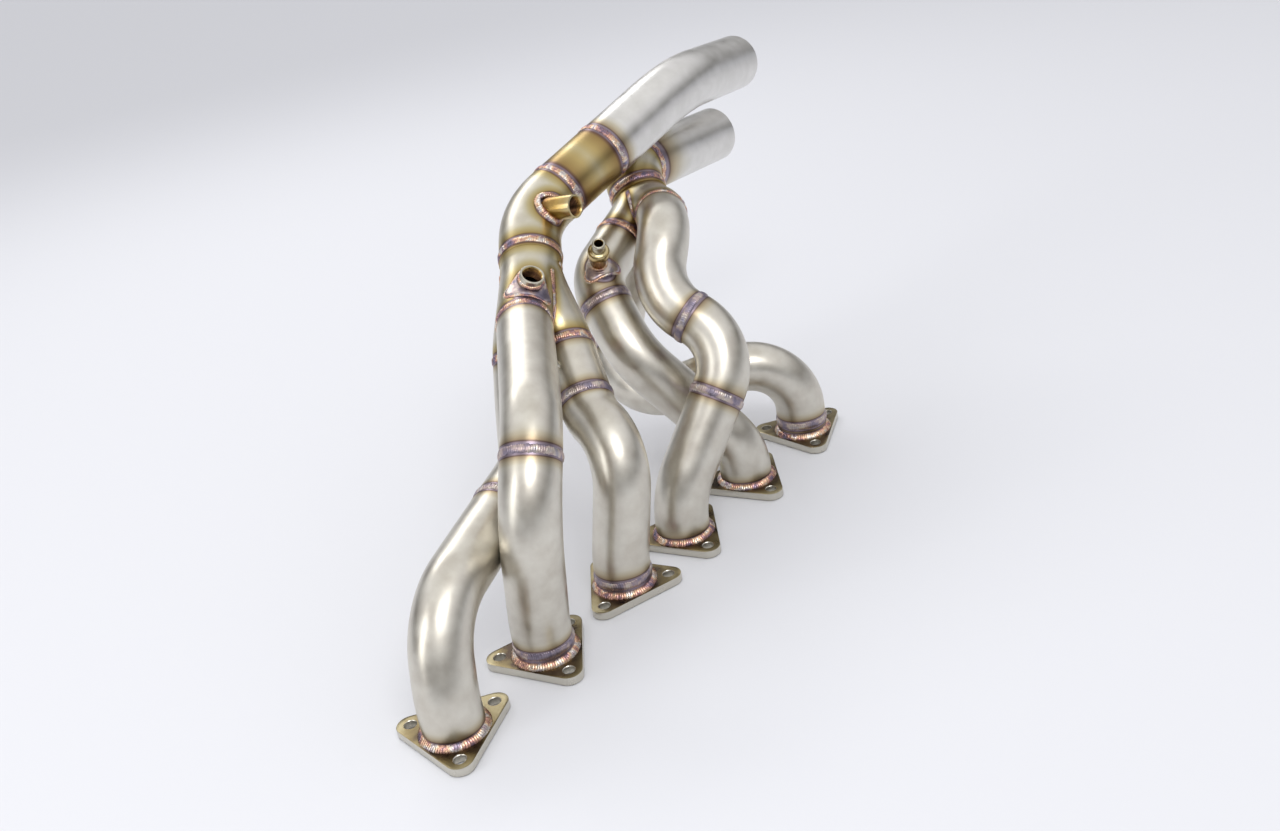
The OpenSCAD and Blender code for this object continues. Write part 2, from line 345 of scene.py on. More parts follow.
@dataclass(frozen=True)
class OxidisedWeld(Finish):
    """Hand-laid TIG weld metal on stainless, left as welded.

    Each ripple froze bright and then took an oxide film, so the bead flashes
    copper and pink, with plum and steel-blue shadows.
    """

    stops: Stops = (
        (0.27, "#6d6b82"),
        (0.38, "#937a86"),
        (0.46, "#c69887"),
        (0.52, "#e2bf9f"),
        (0.58, "#dcd5cc"),
        (0.66, "#a58d97"),
        (0.76, "#7f86a0"),
    )
    roughness: float = 0.24
    film_mm: float = 10.0
    crust_mm: float = 0.8

    def inputs(self, tree: bpy.types.NodeTree) -> dict:
        """Draws the oxide film and the fine crust."""
        place = add_node(tree, "ShaderNodeTexCoord").outputs["Object"]
        film, crust = (
            add_node(tree, "ShaderNodeTexNoise", {"Vector": place, "Scale": 1 / (mm * MM), "Detail": detail})
            for mm, detail in ((self.film_mm, 3.5), (self.crust_mm, 3.0))
        )
        colour = add_node(tree, "ShaderNodeValToRGB", {"Fac": film}, ramp=self.stops)
        span = {"To Min": self.roughness - 0.07, "To Max": self.roughness + 0.14}
        rough = add_node(tree, "ShaderNodeMapRange", {"Value": crust, **span})
        bump = add_node(tree, "ShaderNodeBump", {"Height": crust, "Strength": 0.35, "Distance": 0.12 * MM})
        return {"Metallic": 1.0, "Base Color": colour, "Roughness": rough, "Normal": bump}


@dataclass(frozen=True)
class CutPlate(Finish):
    """Laser-cut 6 mm stainless plate.

    The flat faces are tinted olive gold by the weld's heat, darker close to
    the port; the cut edges were linished bright.
    """

    near: str = "#463a30"
    face: str = "#75684a"
    far: str = "#a59b7c"
    edge: str = "#cfcbc0"
    cloud_mm: float = 17.0
    scratch_mm: float = 0.7

    def inputs(self, tree: bpy.types.NodeTree) -> dict:
        """Draws the tinted faces and the bright, scratched edges."""
        place = add_node(tree, "ShaderNodeTexCoord").outputs["Object"]
        tint = add_node(tree, "ShaderNodeAttribute", attribute_name="tint").outputs["Fac"]
        # Linishing marks run round the edge, so they are stretched flat
        flattened = add_node(tree, "ShaderNodeMapping", {"Vector": place, "Scale": (0.12, 0.12, 1.0)})
        cloud, scratch = (
            add_node(tree, "ShaderNodeTexNoise", {"Vector": at, "Scale": 1 / (mm * MM), "Detail": detail})
            for at, mm, detail in ((place, self.cloud_mm, 5.0), (flattened, self.scratch_mm, 2.0))
        )
        tinted = add_node(tree, "ShaderNodeMath", {0: tint, 1: 0.6}, operation="MULTIPLY")
        warm = add_node(tree, "ShaderNodeMath", {0: cloud, 1: 1.5, 2: tinted}, operation="MULTIPLY_ADD")
        heat = add_node(tree, "ShaderNodeMath", {0: warm, 1: 0.47}, operation="SUBTRACT")
        stops = ((0.18, self.near), (0.42, self.face), (0.95, self.far))
        faces = add_node(tree, "ShaderNodeValToRGB", {"Fac": heat}, ramp=stops)
        normal = add_node(tree, "ShaderNodeNewGeometry").outputs["Normal"]
        up = add_node(tree, "ShaderNodeSeparateXYZ", {0: normal}).outputs["Z"]
        flat = add_node(tree, "ShaderNodeMath", {0: up}, operation="ABSOLUTE")
        is_face = add_node(tree, "ShaderNodeMapRange", {"Value": flat, "From Min": 0.75, "From Max": 0.97})
        parts = {"Factor": is_face, 6: linear(self.edge), 7: faces}
        colour = add_node(tree, "ShaderNodeMix", parts, data_type="RGBA")
        rough = add_node(tree, "ShaderNodeMapRange", {"Value": cloud, "To Min": 0.18, "To Max": 0.42})
        bump = add_node(tree, "ShaderNodeBump", {"Height": scratch, "Strength": 0.22, "Distance": 0.06 * MM})
        return {"Metallic": 1.0, "Base Color": colour.outputs[2], "Roughness": rough, "Normal": bump}


@dataclass(frozen=True)
class TurnedStainless(Finish):
    """Bar turned on a lathe, with tool marks, warmed to amber near its weld; its bores carry painted shade that
    darkens deeper in.
    """

    stops: Stops = (
        (0.0, "#4e3626"),
        (0.25, "#8f6b3b"),
        (0.5, "#b8995a"),
        (0.8, "#c2b48c"),
        (1.0, "#c6c1b2"),
    )
    roughness: float = 0.2
    cloud_mm: float = 6.0
    feed_mm: float = 0.35

    def inputs(self, tree: bpy.types.NodeTree) -> dict:
        """Draws the warm tint, with the painted shade in the bores, and the tool marks."""
        place = add_node(tree, "ShaderNodeTexCoord").outputs["Object"]
        tint, run = (
            add_node(tree, "ShaderNodeAttribute", attribute_name=name).outputs["Fac"]
            for name in ("tint", "feed")
        )
        spread = {"Vector": place, "Scale": 1 / (self.cloud_mm * MM), "Detail": 3.0}
        cloud = add_node(tree, "ShaderNodeTexNoise", spread)
        # In a bore the tint also carries painted shade, so this ramp paints both the weld's heat and the bore's
        # shade
        warm = add_node(tree, "ShaderNodeMath", {0: cloud, 1: 0.3, 2: tint}, operation="MULTIPLY_ADD")
        heat = add_node(tree, "ShaderNodeMath", {0: warm, 1: 0.15}, operation="SUBTRACT")
        colour = add_node(tree, "ShaderNodeValToRGB", {"Fac": heat}, ramp=self.stops)
        groove = add_node(tree, "ShaderNodeMath", {0: run, 1: math.tau / self.feed_mm}, operation="MULTIPLY")
        ridge = add_node(tree, "ShaderNodeMath", {0: groove}, operation="SINE")
        bump = add_node(tree, "ShaderNodeBump", {"Height": ridge, "Strength": 0.12, "Distance": 0.03 * MM})
        span = {"To Min": self.roughness - 0.05, "To Max": self.roughness + 0.08}
        rough = add_node(tree, "ShaderNodeMapRange", {"Value": cloud, **span})
        return {"Metallic": 1.0, "Base Color": colour, "Roughness": rough, "Normal": bump}


@dataclass(frozen=True)
class StudioPaper(Finish):
    """Matt pale background paper, a little blue."""

    shade: str = "#e6e7eb"

    def inputs(self, tree: bpy.types.NodeTree) -> dict:
        """One even shade."""
        return {"Base Color": linear(self.shade), "Roughness": 0.9}


class Finishes:
    """The materials of the header, each made once."""

    def __init__(self) -> None:
        """Builds every material."""
        self.tube = HeatTintedStainless("blasted stainless tube").build()
        self.collector = HeatTintedStainless(
            "blasted stainless collector",
            clean="#d7d2c5",
            deep="#c5beac",
            stops=(
                (0.0, "#5c525e"),
                (0.03, "#93868f"),
                (0.10, "#8d7a7c"),
                (0.14, "#6a5244"),
                (0.22, "#a8925d"),
                (0.45, "#bbad83"),
                (0.72, "#c5bda2"),
            ),
        ).build()
        self.link = HeatTintedStainless(
            "straw-tinted stainless pipe",
            clean="#cfc8b2",
            deep="#b9ae90",
            stops=(
                (0.0, "#5c525e"),
                (0.03, "#8c7d86"),
                (0.07, "#6a5046"),
                (0.14, "#9b8153"),
                (0.40, "#b7a16c"),
                (0.72, "#c3b68c"),
            ),
        ).build()
        self.outlet = HeatTintedStainless(
            "brushed stainless outlet pipe", clean="#e3e1dd", deep="#d6d4cf", roughness=0.32
        ).build()
        self.weld = OxidisedWeld("oxidised TIG weld metal").build()
        self.pad = OxidisedWeld(
            "oxidised built-up weld metal",
            stops=(
                (0.28, "#7b7486"),
                (0.42, "#968c99"),
                (0.51, "#b9a6a4"),
                (0.58, "#cfc3b8"),
                (0.72, "#a09cab"),
            ),
            roughness=0.33,
        ).build()
        self.plate = CutPlate("heat-tinted laser-cut stainless plate").build()
        self.turned = TurnedStainless("turned stainless bar").build()


# ---------------------------------------------------------------- mesh making


def add_object(name: str, data: bpy.types.ID) -> bpy.types.Object:
    """Puts a mesh, light or camera into the scene."""
    obj = bpy.data.objects.new(name, data)
    bpy.context.scene.collection.objects.link(obj)
    return obj


def write_values(mesh: bpy.types.Mesh, key: str, numbers: Sequence[float] | np.ndarray) -> None:
    """Writes one number for each point of a mesh."""
    if key in mesh.attributes:
        mesh.attributes.remove(mesh.attributes[key])
    values = np.asarray(numbers, dtype=np.float32)
    mesh.attributes.new(key, "FLOAT", "POINT").data.foreach_set("value", values)


def evaluated_mesh(obj: bpy.types.Object) -> bpy.types.Mesh:
    """The plain mesh of an object with its modifiers applied; they are then removed."""
    bpy.context.view_layer.update()
    mesh = bpy.data.meshes.new_from_object(obj.evaluated_get(bpy.context.evaluated_depsgraph_get()))
    obj.modifiers.clear()
    return mesh


def places_mm(obj: bpy.types.Object) -> np.ndarray:
    """The places of a mesh's points, in millimetres."""
    return np.array([v.co for v in obj.data.vertices]) / MM


def make_piece(
    name: str,
    points: Sequence[Sequence[float]] | np.ndarray,
    faces: Sequence[Sequence[int]],
    material: bpy.types.Material | None,
    values: dict[str, Sequence[float]] | None = None,
    smooth: bool = True,
    sharp_deg: float = 32.0,
) -> bpy.types.Object:
    """Makes a mesh object from points in millimetres.

    Args:
        name: The piece's name.
        points: Its points, in millimetres, in the header's frame.
        faces: Its faces, wound so that they point outwards.
        material: Its finish, or None for a cutter.
        values: Named numbers, one for each point.
        smooth: Whether its faces are shaded smooth.
        sharp_deg: Edges that turn more than this stay sharp.

    Returns:
        The object, linked to the scene.
    """
    mesh = bpy.data.meshes.new(name)
    mesh.from_pydata((np.asarray(points, dtype=float) * MM).tolist(), [], [tuple(f) for f in faces])
    for key, numbers in (values or {}).items():
        write_values(mesh, key, numbers)
    if material:
        mesh.materials.append(material)
    mesh.validate()
    if smooth:
        mesh.shade_smooth()
        mesh.set_sharp_from_angle(angle=math.radians(sharp_deg))
    return add_object(name, mesh)


def fit(obj: bpy.types.Object, surface: Surface, *nodes: str) -> None:
    """Rides a finished piece on the header's body, in place of its CAD nodes if it has any."""
    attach(obj, BODY)
    if nodes:
        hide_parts(*nodes)
    LOG.info("%s: %d faces", obj.name, len(obj.data.polygons))


def mesh_tree(obj: bpy.types.Object) -> BVHTree:
    """A search tree of an object's mesh, in millimetres."""
    mesh = obj.data
    return BVHTree.FromPolygons([v.co / MM for v in mesh.vertices], [tuple(p.vertices) for p in mesh.polygons])


def land_on(ground: BVHTree, p: Vec, axis: Vec, rise: float, reach: float) -> tuple[Vec, Vec]:
    """Drops a point onto a surface.

    Args:
        ground: The surface, in millimetres.
        p: The point.
        axis: The way up.
        rise: How far above the point the drop starts.
        reach: How far it may fall; past that, the nearest place is taken.

    Returns:
        Where it lands, and the way the surface faces there.
    """
    hit, normal, _, _ = ground.ray_cast(Vector(p + rise * axis), Vector(-axis), reach)
    if hit is None:
        hit, normal, _, _ = ground.find_nearest(Vector(p))
    n = vec(normal)
    return vec(hit), n if n @ axis > 0 else -n


def strip_faces(
    rings: int, around: int, offset: int = 0, flip: bool = False, looped: bool = False, capped: bool = False
) -> list[Face]:
    """Quads between closed rings of points laid one after another.

    Args:
        rings: How many rings there are.
        around: How many points each has.
        offset: Index of the first point.
        flip: Whether the faces point the other way.
        looped: Whether the last ring is joined to the first.
        capped: Whether a flat face closes each end.

    Returns:
        The faces.
    """
    out: list[Face] = []
    for i in range(rings if looped else rings - 1):
        a, b = offset + i * around, offset + (i + 1) % rings * around
        for j in range(around):
            k = (j + 1) % around
            quad = (a + j, a + k, b + k, b + j)
            out.append(quad[::-1] if flip else quad)
    if capped:
        out += [tuple(reversed(range(around))), tuple(range((rings - 1) * around, rings * around))]
    return out


def circle_points(centre: Vec, side: Vec, along: Vec, r: float, around: int) -> Vec:
    """Points of a circle square to a direction."""
    other = np.cross(along, side)
    t = np.linspace(0, math.tau, around, endpoint=False)
    return centre + r * (np.cos(t)[:, None] * side + np.sin(t)[:, None] * other)


def edge_of(reach: Callable[[Vec], Vec], angles: Vec) -> Vec:
    """How far a convex outline lies from its middle.

    Args:
        reach: How far the outline reaches in each direction.
        angles: Where it is wanted.

    Returns:
        The distance at each angle.
    """
    lean = np.linspace(0, math.tau, 1440, endpoint=False)
    slope = np.cos(angles[:, None] - lean)
    return np.min(np.where(slope > 0.05, reach(lean) / np.maximum(slope, 0.05), 1e9), axis=1)


@dataclass(frozen=True)
class Heat:
    """Which ends of a length of tube were welded, and how far the tint runs."""

    start: bool = True
    stop: bool = True
    reach: float = 26.0
    skip_start: float = 2.6
    skip_stop: float = 2.6


@dataclass
class HollowTube:
    """A length of bent tube with a real wall."""

    route: Route
    start: Cut
    stop: Cut
    r: float
    heat: Heat = field(default_factory=Heat)
    around: int = 88

    def build(
        self,
        name: str,
        material: bpy.types.Material,
        spots: Sequence[tuple[Vec, float]] = (),
        open_stop: bool = False,
    ) -> bpy.types.Object:
        """Makes the tube.

        Args:
            name: The piece's name.
            material: Its finish.
            spots: Points where something is welded on, with the radius of its weld.
            open_stop: Whether the far end is a free, cut end.

        Returns:
            The tube.
        """
        path = self.route.stations(self.start, self.stop)
        total = path[-1].distance
        inner = self.r - SIZES.wall
        profile: list[tuple[Station, float]] = [(s, self.r) for s in path]
        if open_stop:
            # The cut end is deburred by a small chamfer
            end = path[-1]
            profile[-1] = (Station(end.at - 0.35 * end.along, end.along, end.side, total - 0.35), self.r)
            profile.append((end, self.r - 0.35))
        profile.append((path[-1], inner))
        profile += [(s, inner) for s in reversed(path[:-1])]
        points, tint = [], []
        for s, r in profile:
            ring = circle_points(s.at, s.side, s.along, r, self.around)
            points.append(ring)
            far = 9.0 * self.heat.reach
            d = min(
                s.distance - self.heat.skip_start if self.heat.start else far,
                total - s.distance - self.heat.skip_stop if self.heat.stop else far,
            )
            near = np.full(self.around, d)
            for spot, spot_r in spots:
                near = np.minimum(near, 1.6 * (np.linalg.norm(ring - spot, axis=1) - spot_r))
            tint.append(np.maximum(near, 0) / self.heat.reach)
        # The last bore ring is joined to the first outer ring, at the near end
        faces = strip_faces(len(profile), self.around, looped=True)
        values = {"tint": np.concatenate(tint)}
        return make_piece(name, np.vstack(points), faces, material, values, sharp_deg=40)


# ---------------------------------------------------------------- welds


@dataclass
class BeadPath:
    """Where a weld runs: points with the way it goes and the way it faces."""

    at: list[Vec]
    along: list[Vec]
    out: list[Vec]
    closed: bool = True

    @staticmethod
    def ring(centre: Iterable[float], axis: Iterable[float], r: float, lean: float = 0.0) -> "BeadPath":
        """A weld round a tube.

        Args:
            centre: The ring's centre.
            axis: The tube's direction.
            r: The ring's radius.
            lean: How far the face leans towards the axis direction, in degrees.

        Returns:
            The path.
        """
        a = unit(axis)
        side, other = square_to(a)
        n = max(24, round(math.tau * r))
        at, along, out = [], [], []
        for t in np.linspace(0, math.tau, n, endpoint=False):
            radial = math.cos(t) * side + math.sin(t) * other
            at.append(vec(centre) + r * radial)
            along.append(-math.sin(t) * side + math.cos(t) * other)
            out.append(unit(math.cos(math.radians(lean)) * radial + math.sin(math.radians(lean)) * a))
        return BeadPath(at, along, out)

    @staticmethod
    def through(points: Sequence[Vec], outs: Sequence[Vec], closed: bool = True) -> "BeadPath":
        """A weld through given points, each with the way it faces."""
        n = len(points)
        along = []
        for i in range(n):
            a = points[(i + 1) % n] if closed or i + 1 < n else points[i]
            b = points[i - 1] if closed or i else points[i]
            along.append(unit(a - b))
        out = [unit(o - (o @ t) * t) for o, t in zip(outs, along, strict=True)]
        return BeadPath(list(points), along, out, closed)

    def ripples(self, pitch: float) -> "BeadPath":
        """The places of the ripples, a pitch apart along the path."""
        n = len(self.at)
        starts = range(n if self.closed else n - 1)
        spans = [float(np.linalg.norm(self.at[(i + 1) % n] - self.at[i])) for i in starts]
        total = sum(spans)
        count = max(3, round(total / pitch))
        at, along, out = [], [], []
        i, passed = 0, 0.0
        for k in range(count):
            goal = total * k / count if self.closed else total * k / max(1, count - 1)
            while i < len(spans) - 1 and passed + spans[i] < goal:
                passed += spans[i]
                i += 1
            f = min(1.0, (goal - passed) / max(spans[i], 1e-9))
            j = (i + 1) % n
            at.append(self.at[i] * (1 - f) + self.at[j] * f)
            along.append(unit(self.along[i] * (1 - f) + self.along[j] * f))
            out.append(unit(self.out[i] * (1 - f) + self.out[j] * f))
        return BeadPath(at, along, out, self.closed)


@dataclass(frozen=True)
class RippleSize:
    """One frozen ripple of weld metal, in millimetres."""

    half_length: float = 1.75
    half_width: float = 3.2
    height: float = 0.9
    pitch: float = 1.7
    bed: float = 0.4


class RippledWelds:
    """Lays weld beads as overlapping ripples, with one shared Geometry Nodes tree."""

    def __init__(self, material: bpy.types.Material) -> None:
        """Builds the ripple and the tree that lays it."""
        self.material = material
        self.tree = self._tree()

    def _tree(self) -> bpy.types.NodeTree:
        """The tree: a ripple on every marked point, joined to the bead's bed."""
        tree = bpy.data.node_groups.new("laid weld ripples", "GeometryNodeTree")
        usual = RippleSize()
        for name, kind, value in (
            ("Bed", "Geometry", None),
            ("Half Length", "Float", usual.half_length * MM),
            ("Half Width", "Float", usual.half_width * MM),
            ("Height", "Float", usual.height * MM),
            ("Seed", "Int", 3),
            ("Finish", "Material", None),
        ):
            socket = tree.interface.new_socket(name, in_out="INPUT", socket_type="NodeSocket" + kind)
            if value is not None:
                socket.default_value = value
        tree.interface.new_socket("Weld", in_out="OUTPUT", socket_type="NodeSocketGeometry")
        given = add_node(tree, "NodeGroupInput").outputs
        marked, along, out = (
            add_node(tree, "GeometryNodeInputNamedAttribute", {"Name": name}, data_type=kind)
            for name, kind in (("ripple", "FLOAT"), ("along", "FLOAT_VECTOR"), ("out", "FLOAT_VECTOR"))
        )
        is_ripple = add_node(tree, "FunctionNodeCompare", {0: marked, 1: 0.5}, operation="GREATER_THAN")
        align = "FunctionNodeAlignRotationToVector"
        facing = add_node(tree, align, {"Vector": out}, axis="Z")
        turned = add_node(tree, align, {"Rotation": facing, "Vector": along}, axis="X", pivot_axis="Z")
        # Each ripple leans back and differs a little from the next in its turn and its size
        ranges = (((-0.07, -0.36, -0.12), (0.07, -0.20, 0.12)), ((0.9, 0.9, 0.85), (1.12, 1.08, 1.2)))
        tilt, swell = (
            add_node(
                tree,
                "FunctionNodeRandomValue",
                {0: low, 1: high, "Seed": given["Seed"]},
                data_type="FLOAT_VECTOR",
            )
            for low, high in ranges
        )
        tilted = add_node(tree, "FunctionNodeRotateRotation", {0: turned, 1: tilt}, rotation_space="LOCAL")
        ball = add_node(tree, "GeometryNodeMeshUVSphere", {"Segments": 14, "Rings": 7, "Radius": 1.0})
        sizes = {0: given["Half Length"], 1: given["Half Width"], 2: given["Height"]}
        shape = add_node(tree, "ShaderNodeCombineXYZ", sizes)
        ripple = add_node(tree, "GeometryNodeTransform", {"Geometry": ball, "Scale": shape})
        soft = add_node(tree, "GeometryNodeSetShadeSmooth", {"Geometry": ripple})
        spots = {"Points": given["Bed"], "Selection": is_ripple}
        look = {"Instance": soft, "Rotation": tilted, "Scale": swell}
        laid = add_node(tree, "GeometryNodeInstanceOnPoints", {**spots, **look})
        bed = add_node(tree, "GeometryNodeDeleteGeometry", {"Geometry": given["Bed"], "Selection": is_ripple})
        whole = add_node(tree, "GeometryNodeJoinGeometry", {0: bed})
        tree.links.new(laid.outputs[0], whole.inputs[0])
        real = add_node(tree, "GeometryNodeRealizeInstances", {"Geometry": whole})
        done = add_node(tree, "GeometryNodeSetMaterial", {"Geometry": real, "Material": given["Finish"]})
        add_node(tree, "NodeGroupOutput", {0: done})
        return tree

    def lay(
        self,
        name: str,
        paths: Sequence[BeadPath],
        size: RippleSize = RippleSize(),
        seed: int = 3,
        material: bpy.types.Material | None = None,
        extra: tuple[list[Vec], list[Face]] | None = None,
    ) -> bpy.types.Object:
        """Lays beads along paths as one plain mesh.

        Args:
            name: The piece's name.
            paths: Where the beads run.
            size: The size of a ripple.
            seed: Picks the small differences between ripples.
            material: Its finish, if not the usual weld metal.
            extra: Points and faces of a body of weld metal that the beads run on.

        Returns:
            The welds.
        """
        points: list[Vec] = list(extra[0]) if extra else []
        faces: list[Face] = list(extra[1]) if extra else []
        section = [(-1.0, -0.35), (-0.8, 0.45), (-0.4, 0.9), (0.0, 1.0), (0.4, 0.9), (0.8, 0.45), (1.0, -0.35)]
        for path in paths:
            base = len(points)
            n, m = len(path.at), len(section)
            for p, t, o in zip(path.at, path.along, path.out, strict=True):
                across = np.cross(o, t)
                points += [p + across * x * size.half_width * 0.94 + o * z * size.bed for x, z in section]
            for i in range(n if path.closed else n - 1):
                a, b = base + i * m, base + ((i + 1) % n) * m
                faces += [(a + j, b + j, b + (j + 1) % m, a + (j + 1) % m) for j in range(m)]
        bed_count = len(points)
        along, out = [vec((1, 0, 0))] * bed_count, [vec((0, 0, 1))] * bed_count
        for path in paths:
            spots = path.ripples(size.pitch)
            points += spots.at
            along += spots.along
            out += spots.out
        mesh = bpy.data.meshes.new(name)
        mesh.from_pydata((np.array(points) * MM).tolist(), [], faces)
        write_values(mesh, "ripple", np.arange(len(points)) >= bed_count)
        for key, rows in (("along", along), ("out", out)):
            mesh.attributes.new(key, "FLOAT_VECTOR", "POINT").data.foreach_set(
                "vector", np.array(rows, dtype=np.float32).ravel()
            )
        mesh.shade_smooth()
        source = add_object(name + "_plan", mesh)
        modifier = source.modifiers.new("weld", "NODES")
        modifier.node_group = self.tree
        names = {s.name: s.identifier for s in self.tree.interface.items_tree if s.item_type == "SOCKET"}
        for key, value in (
            ("Half Length", size.half_length * MM),
            ("Half Width", size.half_width * MM),
            ("Height", size.height * MM),
            ("Seed", seed),
            ("Finish", material or self.material),
        ):
            modifier[names[key]] = value
        plain = evaluated_mesh(source)
        plain.name = name
        bpy.data.objects.remove(source)
        bpy.data.meshes.remove(mesh)
        for key in ("ripple", "along", "out"):
            if key in plain.attributes:
                plain.attributes.remove(plain.attributes[key])
        return add_object(name, plain)


# ---------------------------------------------------------------- solid helpers


def apply_boolean(target: bpy.types.Object, cutter: bpy.types.Object, operation: str) -> None:
    """Joins or cuts one solid with another, and removes the second.

    Args:
        target: The solid that is kept.
        cutter: The solid that is used up.
        operation: "UNION" or "DIFFERENCE".
    """
    modifier = target.modifiers.new("work", "BOOLEAN")
    modifier.operation = operation
    modifier.solver = "EXACT"
    modifier.object = cutter
    old, target.data = target.data, evaluated_mesh(target)
    bpy.data.meshes.remove(old)
    bpy.data.objects.remove(cutter)


def finish_solid(obj: bpy.types.Object, sharp_deg: float = 32.0) -> None:
    """Welds stray points of a worked solid and sets its shading."""
    work = bmesh.new()
    work.from_mesh(obj.data)
    bmesh.ops.remove_doubles(work, verts=work.verts, dist=0.01 * MM)
    bmesh.ops.dissolve_degenerate(work, edges=work.edges, dist=0.01 * MM)
    work.to_mesh(obj.data)
    work.free()
    obj.data.validate()
    obj.data.shade_smooth()
    obj.data.set_sharp_from_angle(angle=math.radians(sharp_deg))


def lathe(
    name: str,
    foot: Iterable[float],
    axis: Iterable[float],
    profile: Sequence[tuple[float, float]],
    material: bpy.types.Material,
    around: int = 72,
    swell: Callable[[float, float, Vec], Vec] | None = None,
    warm: float = 0.0,
    bore: float = 0.0,
    sharp_deg: float = 32.0,
) -> bpy.types.Object:
    """Turns a closed profile about an axis.

    Args:
        name: The piece's name.
        foot: The axis passes through here, at height 0.
        axis: Its direction.
        profile: Radius and height of each ring, bottom of the outside first,
            up the outside and down the inside.
        material: Its finish.
        around: Points in a ring.
        swell: Gives the radii of a ring from its radius, height and angles.
        warm: Height at which the tint of the weld has faded, or 0 for none.
        bore: Rings up to this radius are in the bore, which gets painted shade that darkens as it goes in.
        sharp_deg: Edges that turn more than this stay sharp.

    Returns:
        The piece.
    """
    a = unit(axis)
    side, other = square_to(a)
    t = np.linspace(0, math.tau, around, endpoint=False)
    ray = np.cos(t)[:, None] * side + np.sin(t)[:, None] * other
    points, feed, tint = [], [], []
    run = 0.0
    top = max(z for _, z in profile)
    for i, (r, z) in enumerate(profile):
        if i:
            run += math.hypot(r - profile[i - 1][0], z - profile[i - 1][1])
        radii = swell(r, z, t) if swell else np.full(around, r)
        points.append(vec(foot) + z * a + radii[:, None] * ray)
        feed += [run] * around
        heat = min(1.0, abs(z) / warm) if warm else 1.0
        # Painted shade: a bore's rings slide down the tint ramp towards dark brown the further they lie below
        # the top, as if shade filled the hole
        if r <= bore:
            heat = min(heat, max(0.0, 0.45 - (top - z) / 12.0))
        tint += [heat] * around
    faces = strip_faces(len(profile), around, looped=True)
    values = {"feed": feed, "tint": tint}
    return make_piece(name, np.vstack(points), faces, material, values, sharp_deg=sharp_deg)


def rod(
    name: str, foot: Iterable[float], axis: Iterable[float], r: float, low: float, high: float, around: int = 64
) -> bpy.types.Object:
    """A plain closed rod that is used as a cutter.

    Args:
        name: Its name while it lasts.
        foot: A point on its axis, at height 0.
        axis: Its direction.
        r: Its radius.
        low: Height of its bottom.
        high: Height of its top.
        around: Points in a ring.

    Returns:
        The rod.
    """
    a = unit(axis)
    side = square_to(a)[0]
    rings = [circle_points(vec(foot) + z * a, side, a, r, around) for z in (low, high)]
    return make_piece(name, np.vstack(rings), strip_faces(2, around, capped=True), None, smooth=False)


def hull_solid(name: str, points: np.ndarray, material: bpy.types.Material) -> bpy.types.Object:
    """The skin stretched between two rings of points.

    Args:
        name: The object's name.
        points: The points in millimetres, one ring and then the other.
        material: Its finish.

    Returns:
        The closed solid.
    """
    work = bmesh.new()
    for p in points * MM:
        work.verts.new(p)
    made = bmesh.ops.convex_hull(work, input=work.verts, use_existing_faces=False)
    spare = {g for g in made["geom_interior"] + made["geom_unused"] if isinstance(g, bmesh.types.BMVert)}
    bmesh.ops.delete(work, geom=list(spare), context="VERTS")
    # Level cuts give the skin enough points to carry its tint
    half = len(points) // 2
    a, b = points[:half].mean(axis=0) * MM, points[half:].mean(axis=0) * MM
    for f in np.linspace(-0.2, 1.2, 21):
        everything = work.verts[:] + work.edges[:] + work.faces[:]
        bmesh.ops.bisect_plane(work, geom=everything, plane_co=a + (b - a) * f, plane_no=b - a)
    bmesh.ops.recalc_face_normals(work, faces=work.faces)
    mesh = bpy.data.meshes.new(name)
    work.to_mesh(mesh)
    work.free()
    mesh.materials.append(material)
    return add_object(name, mesh)


def paint_heat(
    obj: bpy.types.Object,
    rings: Sequence[tuple[Vec, Vec, float, float]],
    spots: Sequence[tuple[Vec, float, float]] = (),
) -> None:
    """Writes how far each point lies from the nearest weld, as "tint".

    Args:
        obj: The piece.
        rings: Welds round a tube: centre, direction, radius and reach.
        spots: Other welds: a point, its radius and reach.
    """
    places = places_mm(obj)
    near = np.full(len(places), 9.0)
    for centre, along, r, reach in rings:
        gap = places - centre
        axial = gap @ along
        radial = np.linalg.norm(gap - axial[:, None] * along, axis=1) - r
        near = np.minimum(near, np.maximum(np.hypot(axial, radial) - 2.4, 0) / reach)
    for centre, r, reach in spots:
        near = np.minimum(near, np.maximum(np.linalg.norm(places - centre, axis=1) - r, 0) / reach)
    write_values(obj.data, "tint", near)


